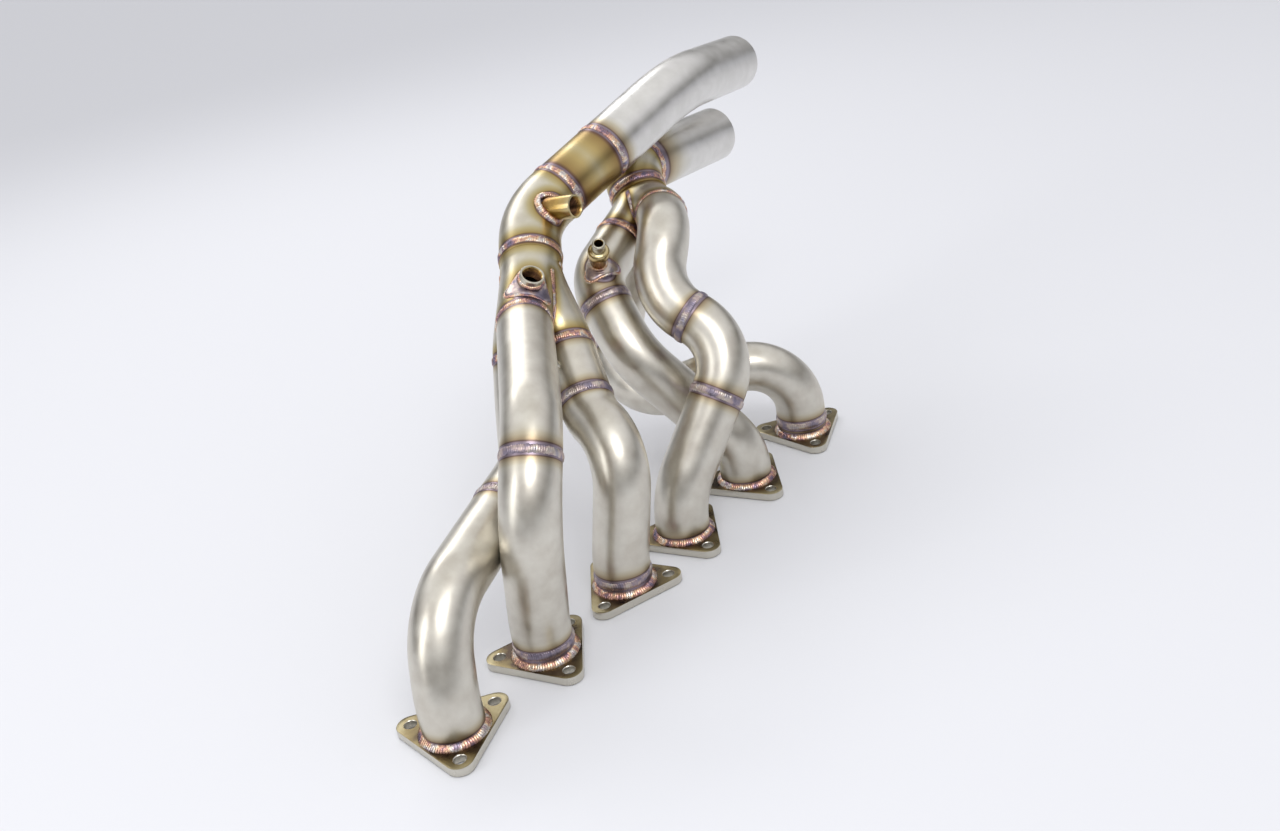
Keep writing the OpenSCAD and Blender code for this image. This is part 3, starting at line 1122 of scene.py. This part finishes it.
def seam_chains(
    obj: bpy.types.Object, keep_off: Sequence[tuple[Vec, Vec]]
) -> list[tuple[list[Vec], list[Vec]]]:
    """Finds the creases of a merged solid, as smoothed lines.

    Args:
        obj: The solid.
        keep_off: Flat ends, each a centre and a direction, whose rims aren't creases.

    Returns:
        For each crease, its points and the way it faces at each.
    """
    work = bmesh.new()
    work.from_mesh(obj.data)
    work.normal_update()
    links: dict[int, list[int]] = {}
    for edge in work.edges:
        if len(edge.link_faces) != 2 or edge.calc_face_angle(0.0) < math.radians(16):
            continue
        middle = vec((edge.verts[0].co + edge.verts[1].co) / 2) / MM
        if any(abs((middle - c) @ u) < 7.0 and np.linalg.norm(middle - c) < 27.0 for c, u in keep_off):
            continue
        a, b = (v.index for v in edge.verts)
        links.setdefault(a, []).append(b)
        links.setdefault(b, []).append(a)
    work.verts.ensure_lookup_table()
    place = {i: vec(work.verts[i].co) / MM for i in links}
    normal = {i: vec(work.verts[i].normal) for i in links}
    work.free()
    used: set[tuple[int, int]] = set()
    chains = []
    starts = [i for i, n in links.items() if len(n) != 2] + list(links)
    for first in starts:
        for step in links[first]:
            if (first, step) in used:
                continue
            chain = [first, step]
            used |= {(first, step), (step, first)}
            while len(links[chain[-1]]) == 2:
                onward = [n for n in links[chain[-1]] if (chain[-1], n) not in used]
                if not onward:
                    break
                used |= {(chain[-1], onward[0]), (onward[0], chain[-1])}
                chain.append(onward[0])
            points = np.array([place[i] for i in chain])
            if np.linalg.norm(np.diff(points, axis=0), axis=1).sum() < 14.0:
                continue
            faces = np.array([normal[i] for i in chain])
            # Evens out the steps that the mesh leaves in the crease
            for _ in range(12):
                points[1:-1] = (points[:-2] + 2 * points[1:-1] + points[2:]) / 4
                faces[1:-1] = (faces[:-2] + 2 * faces[1:-1] + faces[2:]) / 4
            keep = [0]
            for i in range(1, len(points)):
                if np.linalg.norm(points[i] - points[keep[-1]]) > 0.8:
                    keep.append(i)
            if len(keep) > 8:
                chains.append(([points[i] for i in keep], [unit(faces[i]) for i in keep]))
    return chains


# ---------------------------------------------------------------- the ports


@dataclass
class PortRow:
    """The six laser-cut flanges, their fillet welds and the short spigots."""

    finishes: Finishes
    welds: RippledWelds
    sizes: HeaderSizes = SIZES
    grid: int = 168

    def outline(self, angles: Vec) -> Vec:
        """How far the edge of the plate lies from the port, at each angle."""
        s = self.sizes
        lobes = np.radians([0.0, 120.0, 240.0])

        def reach(a: Vec) -> Vec:
            """Three round lobes, one at each stud."""
            return np.max(s.stud_circle_r * np.cos(a[:, None] - lobes), axis=1) + s.corner_r

        return edge_of(reach, angles)

    def flange(self, k: int) -> bpy.types.Object:
        """Makes one flange, with its stud holes and broken edges."""
        s = self.sizes
        t = np.linspace(0, math.tau, self.grid, endpoint=False)
        turn = math.radians(FLANGE_TURN[k])
        edge = self.outline(t)
        bore = s.primary_r - s.wall
        steps = np.linspace(0, 1, 10)
        levels: list[tuple[Vec, float]] = [(np.full(self.grid, bore), z) for z in (0.3, s.flange_t)]
        levels += [(bore + (edge - 0.45 - bore) * f, s.flange_t) for f in steps[1:]]
        levels += [(edge - 0.15, s.flange_t - 0.1), (edge, s.flange_t - 0.45), (edge, 0.45), (edge - 0.15, 0.1)]
        levels += [(bore + 0.3 + (edge - 0.45 - bore - 0.3) * f, 0.0) for f in steps[::-1]]
        ray = np.stack([np.cos(t + turn), np.sin(t + turn)], axis=1)
        points = []
        for r, z in levels:
            ring = np.column_stack([r[:, None] * ray, np.full(self.grid, z)])
            ring[:, 0] += PORT_X[k]
            points.append(ring)
        faces = strip_faces(len(levels), self.grid, flip=True, looped=True)
        obj = make_piece(f"flange_plate_{k + 1}", np.vstack(points), faces, self.finishes.plate)
        for lobe in range(3):
            a = turn + math.radians(120 * lobe)
            foot = (PORT_X[k] + s.stud_circle_r * math.cos(a), s.stud_circle_r * math.sin(a), 0.0)
            h = s.stud_hole_r
            profile = [(h + 1.0, -0.6), (h, 0.4), (h, s.flange_t - 0.4), (h + 1.0, s.flange_t + 0.6)]
            side, up, around = vec((1, 0, 0)), vec((0, 0, 1)), 56
            rings = [circle_points(vec(foot) + z * up, side, up, r, around) for r, z in profile]
            drill_faces = strip_faces(len(rings), around, capped=True)
            cutter = make_piece("stud drill", np.vstack(rings), drill_faces, self.finishes.plate)
            apply_boolean(obj, cutter, "DIFFERENCE")
        finish_solid(obj, 28.0)
        places = places_mm(obj)
        far = np.hypot(places[:, 0] - PORT_X[k], places[:, 1])
        # The tint is strongest beside the fillet weld and has faded 20 mm further out
        write_values(obj.data, "tint", np.clip((far - 24.0) / 20.0, 0, 1))
        return obj

    def build(self) -> None:
        """Makes the row."""
        s = self.sizes
        for k, x in enumerate(PORT_X):
            fit(self.flange(k), Surface.FLANGE, f"port_flange_{k + 1}")
            fillet = BeadPath.ring((x, 0, s.flange_t + 1.35), (0, 0, 1), s.primary_r + 1.35, lean=45)
            size = RippleSize(1.8, 3.3, 1.05, 1.75, 0.55)
            bead = self.welds.lay(f"flange_fillet_{k + 1}", [fillet], size, seed=11 + k)
            fit(bead, Surface.WELD, f"port_weld_{k + 1}")
        for k, top in ((2, 14.5), (3, 14.5), (6, 17.0)):
            tube = HollowTube(ROUTES[k], (0, s.flange_t), (0, top), s.primary_r, Heat(reach=14))
            fit(tube.build(f"spigot_{k}", self.finishes.tube), Surface.TUBE, f"port_spigot_{k}")


# ---------------------------------------------------------------- the primaries


@dataclass(frozen=True)
class PrimaryPlan:
    """Where one primary is cut and welded, and what its lengths are called."""

    number: int
    cuts: tuple[Cut, ...]
    lengths: tuple[str, ...]
    weld_node: str


PLANS = (
    PrimaryPlan(1, ((0, 6), (2, 100), (4, 26)), ("primary_1_lower", "primary_1_upper"), "primary_1_weld"),
    PrimaryPlan(
        2,
        ((0, 14.5), (2, 46), ROUTES[2].end()),
        ("primary_2_lower", "primary_2_upper"),
        "primary_2_welds",
    ),
    PrimaryPlan(
        3,
        ((0, 14.5), (3, 13), ROUTES[3].end()),
        ("primary_3_lower", "primary_3_upper"),
        "primary_3_welds",
    ),
    PrimaryPlan(
        4,
        ((0, 6), (1, 83), (2, 41.5), (4, 42)),
        ("primary_4_lower", "primary_4_middle", "primary_4_upper"),
        "primary_4_welds",
    ),
    PrimaryPlan(
        5,
        ((0, 6), (2, 49), ROUTES[5].end()),
        ("primary_5_lower", "primary_5_upper"),
        "primary_5_weld",
    ),
    PrimaryPlan(
        6,
        ((0, 17), (1, 75), (2, 63.2), (3, 70)),
        ("primary_6_lower", "primary_6_middle", "primary_6_upper"),
        "primary_6_welds",
    ),
)


@dataclass
class Primary:
    """One primary: lengths of bent tube, butt-welded end to end."""

    plan: PrimaryPlan
    finishes: Finishes
    welds: RippledWelds
    sizes: HeaderSizes = SIZES

    def build(self, adapter: "BossPlan") -> None:
        """Makes the tubes and their welds.

        Args:
            adapter: The pressure take-off, which stands on tube 5.
        """
        p = self.plan
        route, r = ROUTES[p.number], self.sizes.primary_r
        for i, node in enumerate(p.lengths):
            tube = HollowTube(route, p.cuts[i], p.cuts[i + 1], r, Heat(reach=13))
            obj = tube.build(f"tube_{p.number}_length_{i + 1}", self.finishes.tube)
            if node == "primary_5_upper":
                drill(obj, adapter, 3.5, 12.0)
                ends = [(*route.across(c), r, 13.0) for c in p.cuts[1:]]
                spots = [(vec(adapter.foot) + a * unit(adapter.spread), 9.0, 16.0) for a in (0.0, 7.0)]
                paint_heat(obj, ends, spots)
            fit(obj, Surface.TUBE, node)
        # Tubes 2, 3 and 6 are also welded to their spigots
        places = p.cuts[:-1] if p.number in (2, 3, 6) else p.cuts[1:-1]
        rings = [BeadPath.ring(*route.across(c), r - 0.1) for c in places]
        name = f"tube_{p.number}_butt_welds"
        bead = self.welds.lay(name, rings, seed=30 + p.number, material=self.finishes.pad)
        fit(bead, Surface.WELD, p.weld_node)


# ---------------------------------------------------------------- bosses


@dataclass(frozen=True)
class BossPlan:
    """Where a boss stands: its foot on the tube, its direction, its pad's spread."""

    foot: Point
    axis: Point
    spread: Point = (0.0, 0.0, 1.0)
    pad_reach: float = 0.0
    pad_half_width: float = 0.0


BUNG = BossPlan((238, 87, 215), (-0.1, -0.57, 0.81), (-0.78, -0.5, -0.39), 15, 17)
PROBE = BossPlan((305, 115, 246), (0.08, -0.99, 0.1))
ADAPTER = BossPlan((331, 102, 191), (-0.36, -0.48, 0.8), (-0.3, -0.75, -0.6), 12, 15)


def drill(obj: bpy.types.Object, plan: BossPlan, r: float, reach: float) -> None:
    """Drills a round hole through the wall under a boss."""
    apply_boolean(obj, rod("drill", plan.foot, plan.axis, r, -reach, reach), "DIFFERENCE")
    finish_solid(obj, 40.0)


@dataclass
class WeldPad:
    """A patch of weld metal drawn out beside a boss, draped over what it lies on."""

    plan: BossPlan
    boss_r: float
    height: float = 1.5
    around: int = 108
    rows: int = 12

    def edge(self, angles: Vec) -> Vec:
        """How far the pad's edge lies from the boss's axis at each angle."""
        x, y = self.plan.pad_reach - 5, self.plan.pad_half_width - 5

        def reach(a: Vec) -> Vec:
            """Two rounded corners beside the boss, and a collar round it."""
            corners = np.maximum(x * np.cos(a) + y * np.sin(a), x * np.cos(a) - y * np.sin(a))
            return np.maximum(self.boss_r + 2.0, corners + 5.0)

        return edge_of(reach, angles)

    def drape(self, ground: BVHTree) -> tuple[list[Vec], list[Face], BeadPath]:
        """Lays the pad on a surface.

        Args:
            ground: The surface, in millimetres.

        Returns:
            Its points, its faces, and the path of the bead round its edge.
        """
        axis = unit(self.plan.axis)
        out_way, across = square_to(axis, self.plan.spread)
        t = np.linspace(0, math.tau, self.around, endpoint=False)
        edge = self.edge(t)
        foot = vec(self.plan.foot)
        tops, beds, rim, rim_out = [], [], [], []
        inner = self.boss_r - 0.4
        for i in range(self.rows + 1):
            f = i / self.rows
            lift = self.height * math.sqrt(max(0.0, 1 - max(0.0, (f - 0.72) / 0.28) ** 2))
            lift -= 0.25 if f == 1 else 0
            for j, a in enumerate(t):
                r = inner + (edge[j] - inner) * f
                spot = foot + r * (math.cos(a) * out_way + math.sin(a) * across)
                hit, n = land_on(ground, spot, axis, 14.0, 40.0)
                # The weld metal was drawn out in passes, so its top isn't flat
                wave = 0.14 * math.sin(3.1 * r + 2 * a) * min(1.0, 3 * (1 - f))
                tops.append(hit + n * (lift + wave))
                beds.append(hit - n * 0.5)
                if i == self.rows:
                    rim.append(hit + n * 0.1)
                    rim_out.append(n)
        count = len(tops)
        faces = strip_faces(self.rows + 1, self.around, flip=True)
        faces += strip_faces(self.rows + 1, self.around, offset=count)
        for base, flip in ((0, False), (self.rows * self.around, True)):
            for j in range(self.around):
                k = (j + 1) % self.around
                quad = (base + j, base + k, count + base + k, count + base + j)
                faces.append(quad[::-1] if flip else quad)
        return tops + beds, faces, BeadPath.through(rim, rim_out)


def threaded(crest: float, pitch: float, low: float, high: float) -> Callable[[float, float, Vec], Vec]:
    """A swell for a lathe ring that cuts a screw thread into its bore.

    Args:
        crest: Radius of the thread's crests; rings wider than this stay round.
        pitch: The thread's pitch.
        low: Height where the thread starts.
        high: Height where it ends.

    Returns:
        The swell.
    """

    def swell(r: float, z: float, angles: Vec) -> Vec:
        """The radii of one ring."""
        if abs(r - crest) > 0.01 or not low < z < high:
            return np.full(len(angles), r)
        phase = (z / pitch - angles / math.tau) % 1.0
        depth = 0.55 * pitch * np.clip(1.15 - 2.3 * np.abs(phase - 0.5), 0, 0.9)
        ease = min(1.0, (z - low) / 0.8, (high - z) / 0.8)
        return r + depth * max(0.0, ease)

    return swell


def build_threaded_boss(
    name: str,
    plan: BossPlan,
    inside: float,
    height: float,
    finish: bpy.types.Material,
    warm: float,
) -> bpy.types.Object:
    """Makes a turned bung with a threaded bore.

    Args:
        name: The piece's name.
        plan: Where it stands.
        inside: How far it reaches in.
        height: How far it stands out.
        finish: Its finish.
        warm: Height at which the tint of its weld has faded.

    Returns:
        The bung.
    """
    r, bore = SIZES.bung_r, SIZES.bung_bore_r
    rows = round((height + inside) / 0.16)
    wall = [(bore, height - 0.9 - (height + inside - 1.2) * i / rows) for i in range(rows + 1)]
    profile = [(r, -inside), (r, height - 0.5), (r - 0.15, height - 0.15), (r - 0.5, height)]
    profile += [(bore + 0.9, height), *wall, (bore + 0.2, -inside)]
    swell = threaded(bore, 1.5, -inside + 0.4, height - 0.9)
    # Rings inside this radius get painted shade, darker deeper in the bore
    shaded_bore_r = bore + 0.3
    return lathe(name, plan.foot, plan.axis, profile, finish, around=96, swell=swell, warm=warm, bore=shaded_bore_r)


# ---------------------------------------------------------------- the collectors


@dataclass
class MergeCollector:
    """Three tubes formed into one: each branch swells and leans into the outlet."""

    label: str
    mouths: list[tuple[Vec, Vec]]
    outlet: tuple[Vec, Vec]
    finishes: Finishes
    welds: RippledWelds
    boss: BossPlan | None = None
    sizes: HeaderSizes = SIZES
    stub: float = 5.0
    around: int = 88
    rows: int = 36

    def branch(self, k: int, grow: float, past: float) -> bpy.types.Object:
        """Makes the solid body of one branch.

        Args:
            k: Which branch. Each ends a little smaller and shorter than the one
                before, so that no two skins lie on each other in the outlet.
            grow: Added to its radius.
            past: How far it runs out through its mouth.

        Returns:
            The body.
        """
        (a, u), (b, m) = self.mouths[k], self.outlet
        p0, p1 = a + self.stub * u, b - self.stub * m
        tip = b - (0.4 + 0.13 * k) * self.stub * m
        d = 0.8 * float(np.linalg.norm(p1 - p0))
        r0 = self.sizes.primary_r + grow
        r1 = self.sizes.outlet_r + grow - 0.12 - 0.27 * k
        if u @ m < math.cos(math.radians(50)):
            # A branch that turns this sharply is hammered over, not drawn round
            ends = [
                circle_points(p0 - 1.0 * u, square_to(u)[0], u, r0 - 0.04, self.around),
                circle_points(tip, square_to(m)[0], m, r1, self.around),
            ]
            cone = hull_solid("branch", np.vstack(ends), self.finishes.collector)
            apply_boolean(cone, rod("branch stub", a, u, r0, -past, self.stub), "UNION")
            return cone
        path: list[tuple[Vec, Vec, float]] = [(a - past * u, u, r0), (a + 0.5 * self.stub * u, u, r0)]
        for i in range(self.rows + 1):
            t = i / self.rows
            h = (2 * t**3 - 3 * t**2 + 1, t**3 - 2 * t**2 + t, -2 * t**3 + 3 * t**2, t**3 - t**2)
            g = (6 * t**2 - 6 * t, 3 * t**2 - 4 * t + 1, -6 * t**2 + 6 * t, 3 * t**2 - 2 * t)
            place = h[0] * p0 + h[1] * d * u + h[2] * p1 + h[3] * d * m
            way = unit(g[0] * p0 + g[1] * d * u + g[2] * p1 + g[3] * d * m)
            ease = t**2.2
            path.append((place, way, r0 + (r1 - r0) * ease))
        path.append((tip, m, r1))
        rings = []
        side = square_to(u)[0]
        for place, way, r in path:
            side = unit(side - (side @ way) * way)
            rings.append(circle_points(place, side, way, r, self.around))
        faces = strip_faces(len(rings), self.around, capped=True)
        return make_piece("branch", np.vstack(rings), faces, self.finishes.collector, smooth=False)

    def body(self, grow: float, past: float) -> bpy.types.Object:
        """Makes the merged solid of all branches and the outlet."""
        b, m = self.outlet
        whole = self.branch(0, grow, past)
        for k in range(1, len(self.mouths)):
            apply_boolean(whole, self.branch(k, grow, past), "UNION")
        end = rod("outlet stub", b, m, self.sizes.outlet_r + grow, -self.stub - 1.0, past)
        apply_boolean(whole, end, "UNION")
        return whole

    def build(self) -> BVHTree:
        """Makes the collector and its welds.

        Returns:
            The outer skin's search tree, for what is welded onto it.
        """
        s = self.sizes
        skin = self.body(0.0, 0.0)
        finish_solid(skin)
        ground = mesh_tree(skin)
        creases = seam_chains(skin, [*self.mouths, self.outlet])
        LOG.info("%s collector: %d creases", self.label, len(creases))
        apply_boolean(skin, self.body(-s.wall, 1.0), "DIFFERENCE")
        if self.boss:
            hole = rod("bung drill", self.boss.foot, self.boss.axis, s.bung_r, -10, 10)
            apply_boolean(skin, hole, "DIFFERENCE")
        finish_solid(skin, 30.0)
        skin.name = f"{self.label}_merge"
        rings = [(c, u, s.primary_r, 15.0) for c, u in self.mouths] + [(*self.outlet, s.outlet_r, 16.0)]
        spots = [(p, 0.8, 9.0) for points, _ in creases for p in points[::3]]
        if self.boss:
            spots += [(vec(self.boss.foot) + a * unit(self.boss.spread), 12.0, 17.0) for a in (0.0, 9.0)]
        paint_heat(skin, rings, spots)
        fit(skin, Surface.COLLECTOR, f"{self.label}_collector")
        paths = [BeadPath.ring(c, u, s.primary_r - 0.1) for c, u in self.mouths]
        paths.append(BeadPath.ring(*self.outlet, s.outlet_r - 0.1))
        bead = self.welds.lay(f"{self.label}_merge_ring_welds", paths, seed=51)
        fit(bead, Surface.WELD, f"{self.label}_collector_welds")
        if creases:
            lines = [BeadPath.through(p, o, closed=False) for p, o in creases]
            size = RippleSize(1.4, 2.1, 0.8, 1.5, 0.4)
            fit(self.welds.lay(f"{self.label}_merge_seam_welds", lines, size, seed=57), Surface.WELD)
        return ground


# ---------------------------------------------------------------- the outlets


@dataclass
class OutletPipe:
    """A 49 mm outlet: short lengths welded on from the collector, and a free tail."""

    label: str
    route: Route
    cuts: tuple[Cut, ...]
    nodes: tuple[str, ...]
    weld_node: str
    finishes: Finishes
    welds: RippledWelds
    boss: BossPlan | None = None
    sizes: HeaderSizes = SIZES
    tint_mm: float = 17.0
    link_tint_mm: float = 42.0

    def build(self) -> list[bpy.types.Object]:
        """Makes the lengths and their welds, and returns the lengths."""
        r = self.sizes.outlet_r
        made = []
        for i, node in enumerate(self.nodes):
            tail = i == len(self.nodes) - 1
            heat = Heat(stop=not tail, reach=self.link_tint_mm if i == 1 else self.tint_mm)
            tube = HollowTube(self.route, self.cuts[i], self.cuts[i + 1], r, heat, around=104)
            finish = self.finishes.link if i == 1 else self.finishes.collector
            if tail:
                finish = self.finishes.outlet
            obj = tube.build(f"{self.label}_outlet_length_{i + 1}", finish, open_stop=tail)
            if i == 0 and self.boss:
                drill(obj, self.boss, self.sizes.bung_bore_r, 14.0)
                ends = [(*self.route.across(c), r, self.tint_mm) for c in self.cuts[:2]]
                paint_heat(obj, ends, [(vec(self.boss.foot), 12.5, 14.0)])
            made.append(obj)
            fit(obj, Surface.OUTLET, node)
        rings = [BeadPath.ring(*self.route.across(c), r - 0.1) for c in self.cuts[1:-1]]
        fit(self.welds.lay(f"{self.label}_outlet_butt_welds", rings, seed=61), Surface.WELD, self.weld_node)
        return made


# ---------------------------------------------------------------- fittings


@dataclass
class Fittings:
    """The turned bosses, their welds and the tie rod."""

    finishes: Finishes
    welds: RippledWelds
    sizes: HeaderSizes = SIZES

    def sensor_bung(self, ground: BVHTree) -> None:
        """Makes the threaded bung on the front collector, with its pad."""
        bung = build_threaded_boss("threaded_bung", BUNG, 5, 6, self.finishes.turned, 3.5)
        fit(bung, Surface.TURNED, "sensor_bung")
        self._pad("bung_pad_weld", BUNG, self.sizes.bung_r, ground, "bung_pad", 71)

    def _pad(self, name: str, plan: BossPlan, r: float, ground: BVHTree, node: str, seed: int) -> None:
        """Makes the pad beside a boss, the bead round it and the bead round the boss."""
        points, faces, rim = WeldPad(plan, r).drape(ground)
        pad = self.welds.lay(name + "_bed", [], RippleSize(), seed, self.finishes.pad, (points, faces))
        fit(pad, Surface.WELD, node)
        foot = vec(plan.foot) + 1.2 * unit(plan.axis)
        ring = BeadPath.ring(foot, plan.axis, r + 0.4, lean=45)
        for suffix, path, size in (
            ("_rim", rim, RippleSize(1.3, 1.5, 0.75, 1.4, 0.3)),
            ("_root", ring, RippleSize(1.2, 1.4, 0.7, 1.4, 0.35)),
        ):
            fit(self.welds.lay(name + suffix, [path], size, seed + 1), Surface.WELD)

    def probe_boss(self, elbow: BVHTree) -> None:
        """Makes the long bung on the front elbow, with its saddle weld."""
        boss = build_threaded_boss("long_probe_bung", PROBE, 4, 23, self.finishes.turned, 30.0)
        fit(boss, Surface.TURNED, "probe_boss")
        axis = unit(PROBE.axis)
        side, other = square_to(axis)
        at, out = [], []
        r = self.sizes.bung_r + 1.5
        for a in np.linspace(0, math.tau, 72, endpoint=False):
            ray = math.cos(a) * side + math.sin(a) * other
            hit, n = land_on(elbow, vec(PROBE.foot) + r * ray, axis, 20.0, 50.0)
            lean = unit(n + ray * 0.2 + axis * 0.2)
            at.append(hit + 0.7 * lean)
            out.append(unit(0.75 * ray + n))
        size = RippleSize(1.9, 3.0, 1.5, 1.8, 0.9)
        weld = self.welds.lay("probe_saddle_weld", [BeadPath.through(at, out)], size, 81)
        fit(weld, Surface.WELD, "probe_weld")

    def pressure_adapter(self, ground: BVHTree) -> None:
        """Makes the pressure take-off: neck, round collar and nipple."""
        h, bore = 28.0, 3.5
        profile = [(6.5, -5.0), (6.5, 10.4), (7.0, 11.2), (8.3, 12.0), (8.8, 12.8), (8.8, 17.4), (8.5, 18.4)]
        profile += [(7.6, 19.3), (6.3, 19.6), (5.5, 19.8), (5.2, 20.4), (5.2, 25.4), (5.35, 26.3), (5.3, 27.2)]
        profile += [(4.9, 27.8), (4.4, h), (4.0, h), (3.65, 27.8), (bore, 27.3), (bore, -4.8), (3.8, -5.0)]
        foot, axis = ADAPTER.foot, ADAPTER.axis
        finish = self.finishes.turned
        # The nipple's bore gets painted shade, darker deeper in
        piece = lathe("pressure_nipple", foot, axis, profile, finish, warm=26, bore=bore + 0.2, sharp_deg=50)
        fit(piece, Surface.TURNED, "pressure_adapter")
        self._pad("adapter_pad_weld", ADAPTER, 6.5, ground, "adapter_pad", 91)

    def tie_rod(self) -> None:
        """Makes the short rod that ties tubes 2 and 3."""
        a, b = vec((212, 78, 185)), vec((232, 52, 132))
        way = unit(b - a)
        span = float(np.linalg.norm(b - a))
        low, high, r = 12.0, span - 12.0, 2.5
        profile = [(0.05, low), (1.6, low + 0.2), (2.3, low + 0.9), (r, low + 1.8)]
        profile += [(r, high - 1.8), (2.3, high - 0.9), (1.6, high - 0.2), (0.05, high)]
        body = lathe("tie_bar", a, way, profile, self.finishes.turned, around=40)
        fit(body, Surface.TUBE, "tie_rod")


# ---------------------------------------------------------------- studio


@dataclass(frozen=True)
class SoftBox:
    """A soft studio light: where it stands, where it points, its size and power."""

    name: str
    at: Point
    aim: Point
    size: tuple[float, float]
    watts: float


@dataclass
class Studio:
    """A plain pale floor, soft light and the camera."""

    eye: Point = (-0.408, -0.567, 0.521)
    look_at: Point = (0.2015, -0.027, 0.138)
    roll_deg: float = -10.5
    lens_mm: float = 36.5
    sky: float = 0.93
    tent: Stops = (
        (0.0, "#d3d6df"),
        (0.09, "#c6c8ce"),
        (0.19, "#666460"),
        (0.42, "#c8c8ca"),
        (0.62, "#fafaff"),
        (1.0, "#ffffff"),
    )
    lights: tuple[SoftBox, ...] = (
        SoftBox("key softbox", (-0.5, -1.1, 1.9), (0.28, 0.05, 0.1), (1.1, 0.7), 12.0),
        SoftBox("rim softbox", (0.9, 1.5, 1.5), (0.3, 0.1, 0.1), (1.6, 0.5), 8.0),
        SoftBox("side softbox", (-1.3, 0.6, 0.9), (0.2, 0.0, 0.1), (0.5, 1.2), 5.0),
    )

    def floor(self) -> None:
        """Lays a wide sheet of background paper under the ports."""
        half = 20000.0
        points = [(-half, -half, -0.5), (half, -half, -0.5), (half, half, -0.5), (-half, half, -0.5)]
        paper = StudioPaper("matt background paper").build()
        make_piece("backdrop", points, [(0, 1, 2, 3)], paper, smooth=False)

    def world(self) -> None:
        """A bright overhead tent that darkens to grey beside the object."""
        world = bpy.data.worlds.new("studio tent")
        bpy.context.scene.world = world
        world.use_nodes = True
        tree = world.node_tree
        tree.nodes.clear()
        way = add_node(tree, "ShaderNodeTexCoord").outputs["Generated"]
        up = add_node(tree, "ShaderNodeSeparateXYZ", {0: way}).outputs["Z"]
        colour = add_node(tree, "ShaderNodeValToRGB", {"Fac": up}, ramp=self.tent)
        back = add_node(tree, "ShaderNodeBackground", {"Color": colour, "Strength": self.sky})
        add_node(tree, "ShaderNodeOutputWorld", {"Surface": back})

    def light(self) -> None:
        """Stands the soft boxes."""
        for box in self.lights:
            data = bpy.data.lights.new(box.name, "AREA")
            data.shape = "RECTANGLE"
            data.size, data.size_y = box.size
            data.energy = box.watts
            obj = add_object(box.name, data)
            obj.location = box.at
            way = Vector(box.aim) - Vector(box.at)
            obj.rotation_euler = way.to_track_quat("-Z", "Y").to_euler()

    def camera(self) -> None:
        """Sets up the camera, rolled a little about its line of sight."""
        data = bpy.data.cameras.new("camera")
        data.sensor_width = 36.0
        data.lens = self.lens_mm
        data.clip_start, data.clip_end = 0.01, 100.0
        obj = add_object("camera", data)
        f = (Vector(self.look_at) - Vector(self.eye)).normalized()
        r0 = f.cross(Vector((0, 0, 1))).normalized()
        u0 = r0.cross(f)
        roll = math.radians(-self.roll_deg)
        right = r0 * math.cos(roll) - u0 * math.sin(roll)
        up = right.cross(f)
        turn = Matrix((right, up, -f)).transposed()
        obj.matrix_world = Matrix.Translation(Vector(self.eye)) @ turn.to_4x4()
        bpy.context.scene.camera = obj

    def build(self) -> None:
        """Sets up the whole studio."""
        self.floor()
        self.world()
        self.light()
        self.camera()
        bpy.context.scene.view_settings.view_transform = "Standard"


# ---------------------------------------------------------------- the header


def main() -> None:
    """Builds every sub-assembly and the studio."""
    logging.basicConfig(level=logging.INFO, format="%(message)s")
    finishes = Finishes()
    welds = RippledWelds(finishes.weld)
    PortRow(finishes, welds).build()
    for plan in PLANS:
        Primary(plan, finishes, welds).build(ADAPTER)
    ground = {}
    for label, plans, route, boss in (
        ("front", PLANS[:3], FRONT_ROUTE, BUNG),
        ("rear", PLANS[3:], REAR_ROUTE, None),
    ):
        mouths = [ROUTES[p.number].across(p.cuts[-1]) for p in plans]
        collector = MergeCollector(label, mouths, route.across((0, 0)), finishes, welds, boss)
        ground[label] = collector.build()
    front_outlet = OutletPipe(
        "front",
        FRONT_ROUTE,
        ((0, 0), (1, 36), (1, 93), FRONT_ROUTE.end()),
        ("front_outlet_elbow", "front_outlet_link", "front_outlet_tail"),
        "front_outlet_welds",
        finishes,
        welds,
        boss=PROBE,
    ).build()
    OutletPipe(
        "rear",
        REAR_ROUTE,
        ((0, 0), (1, 18.5), REAR_ROUTE.end()),
        ("rear_outlet_elbow", "rear_outlet_tail"),
        "rear_outlet_weld",
        finishes,
        welds,
    ).build()
    fittings = Fittings(finishes, welds)
    fittings.sensor_bung(ground["front"])
    fittings.probe_boss(mesh_tree(front_outlet[0]))
    fittings.pressure_adapter(mesh_tree(bpy.data.objects["tube_5_length_2"]))
    fittings.tie_rod()
    Studio().build()


if __name__ == "__main__":
    main()
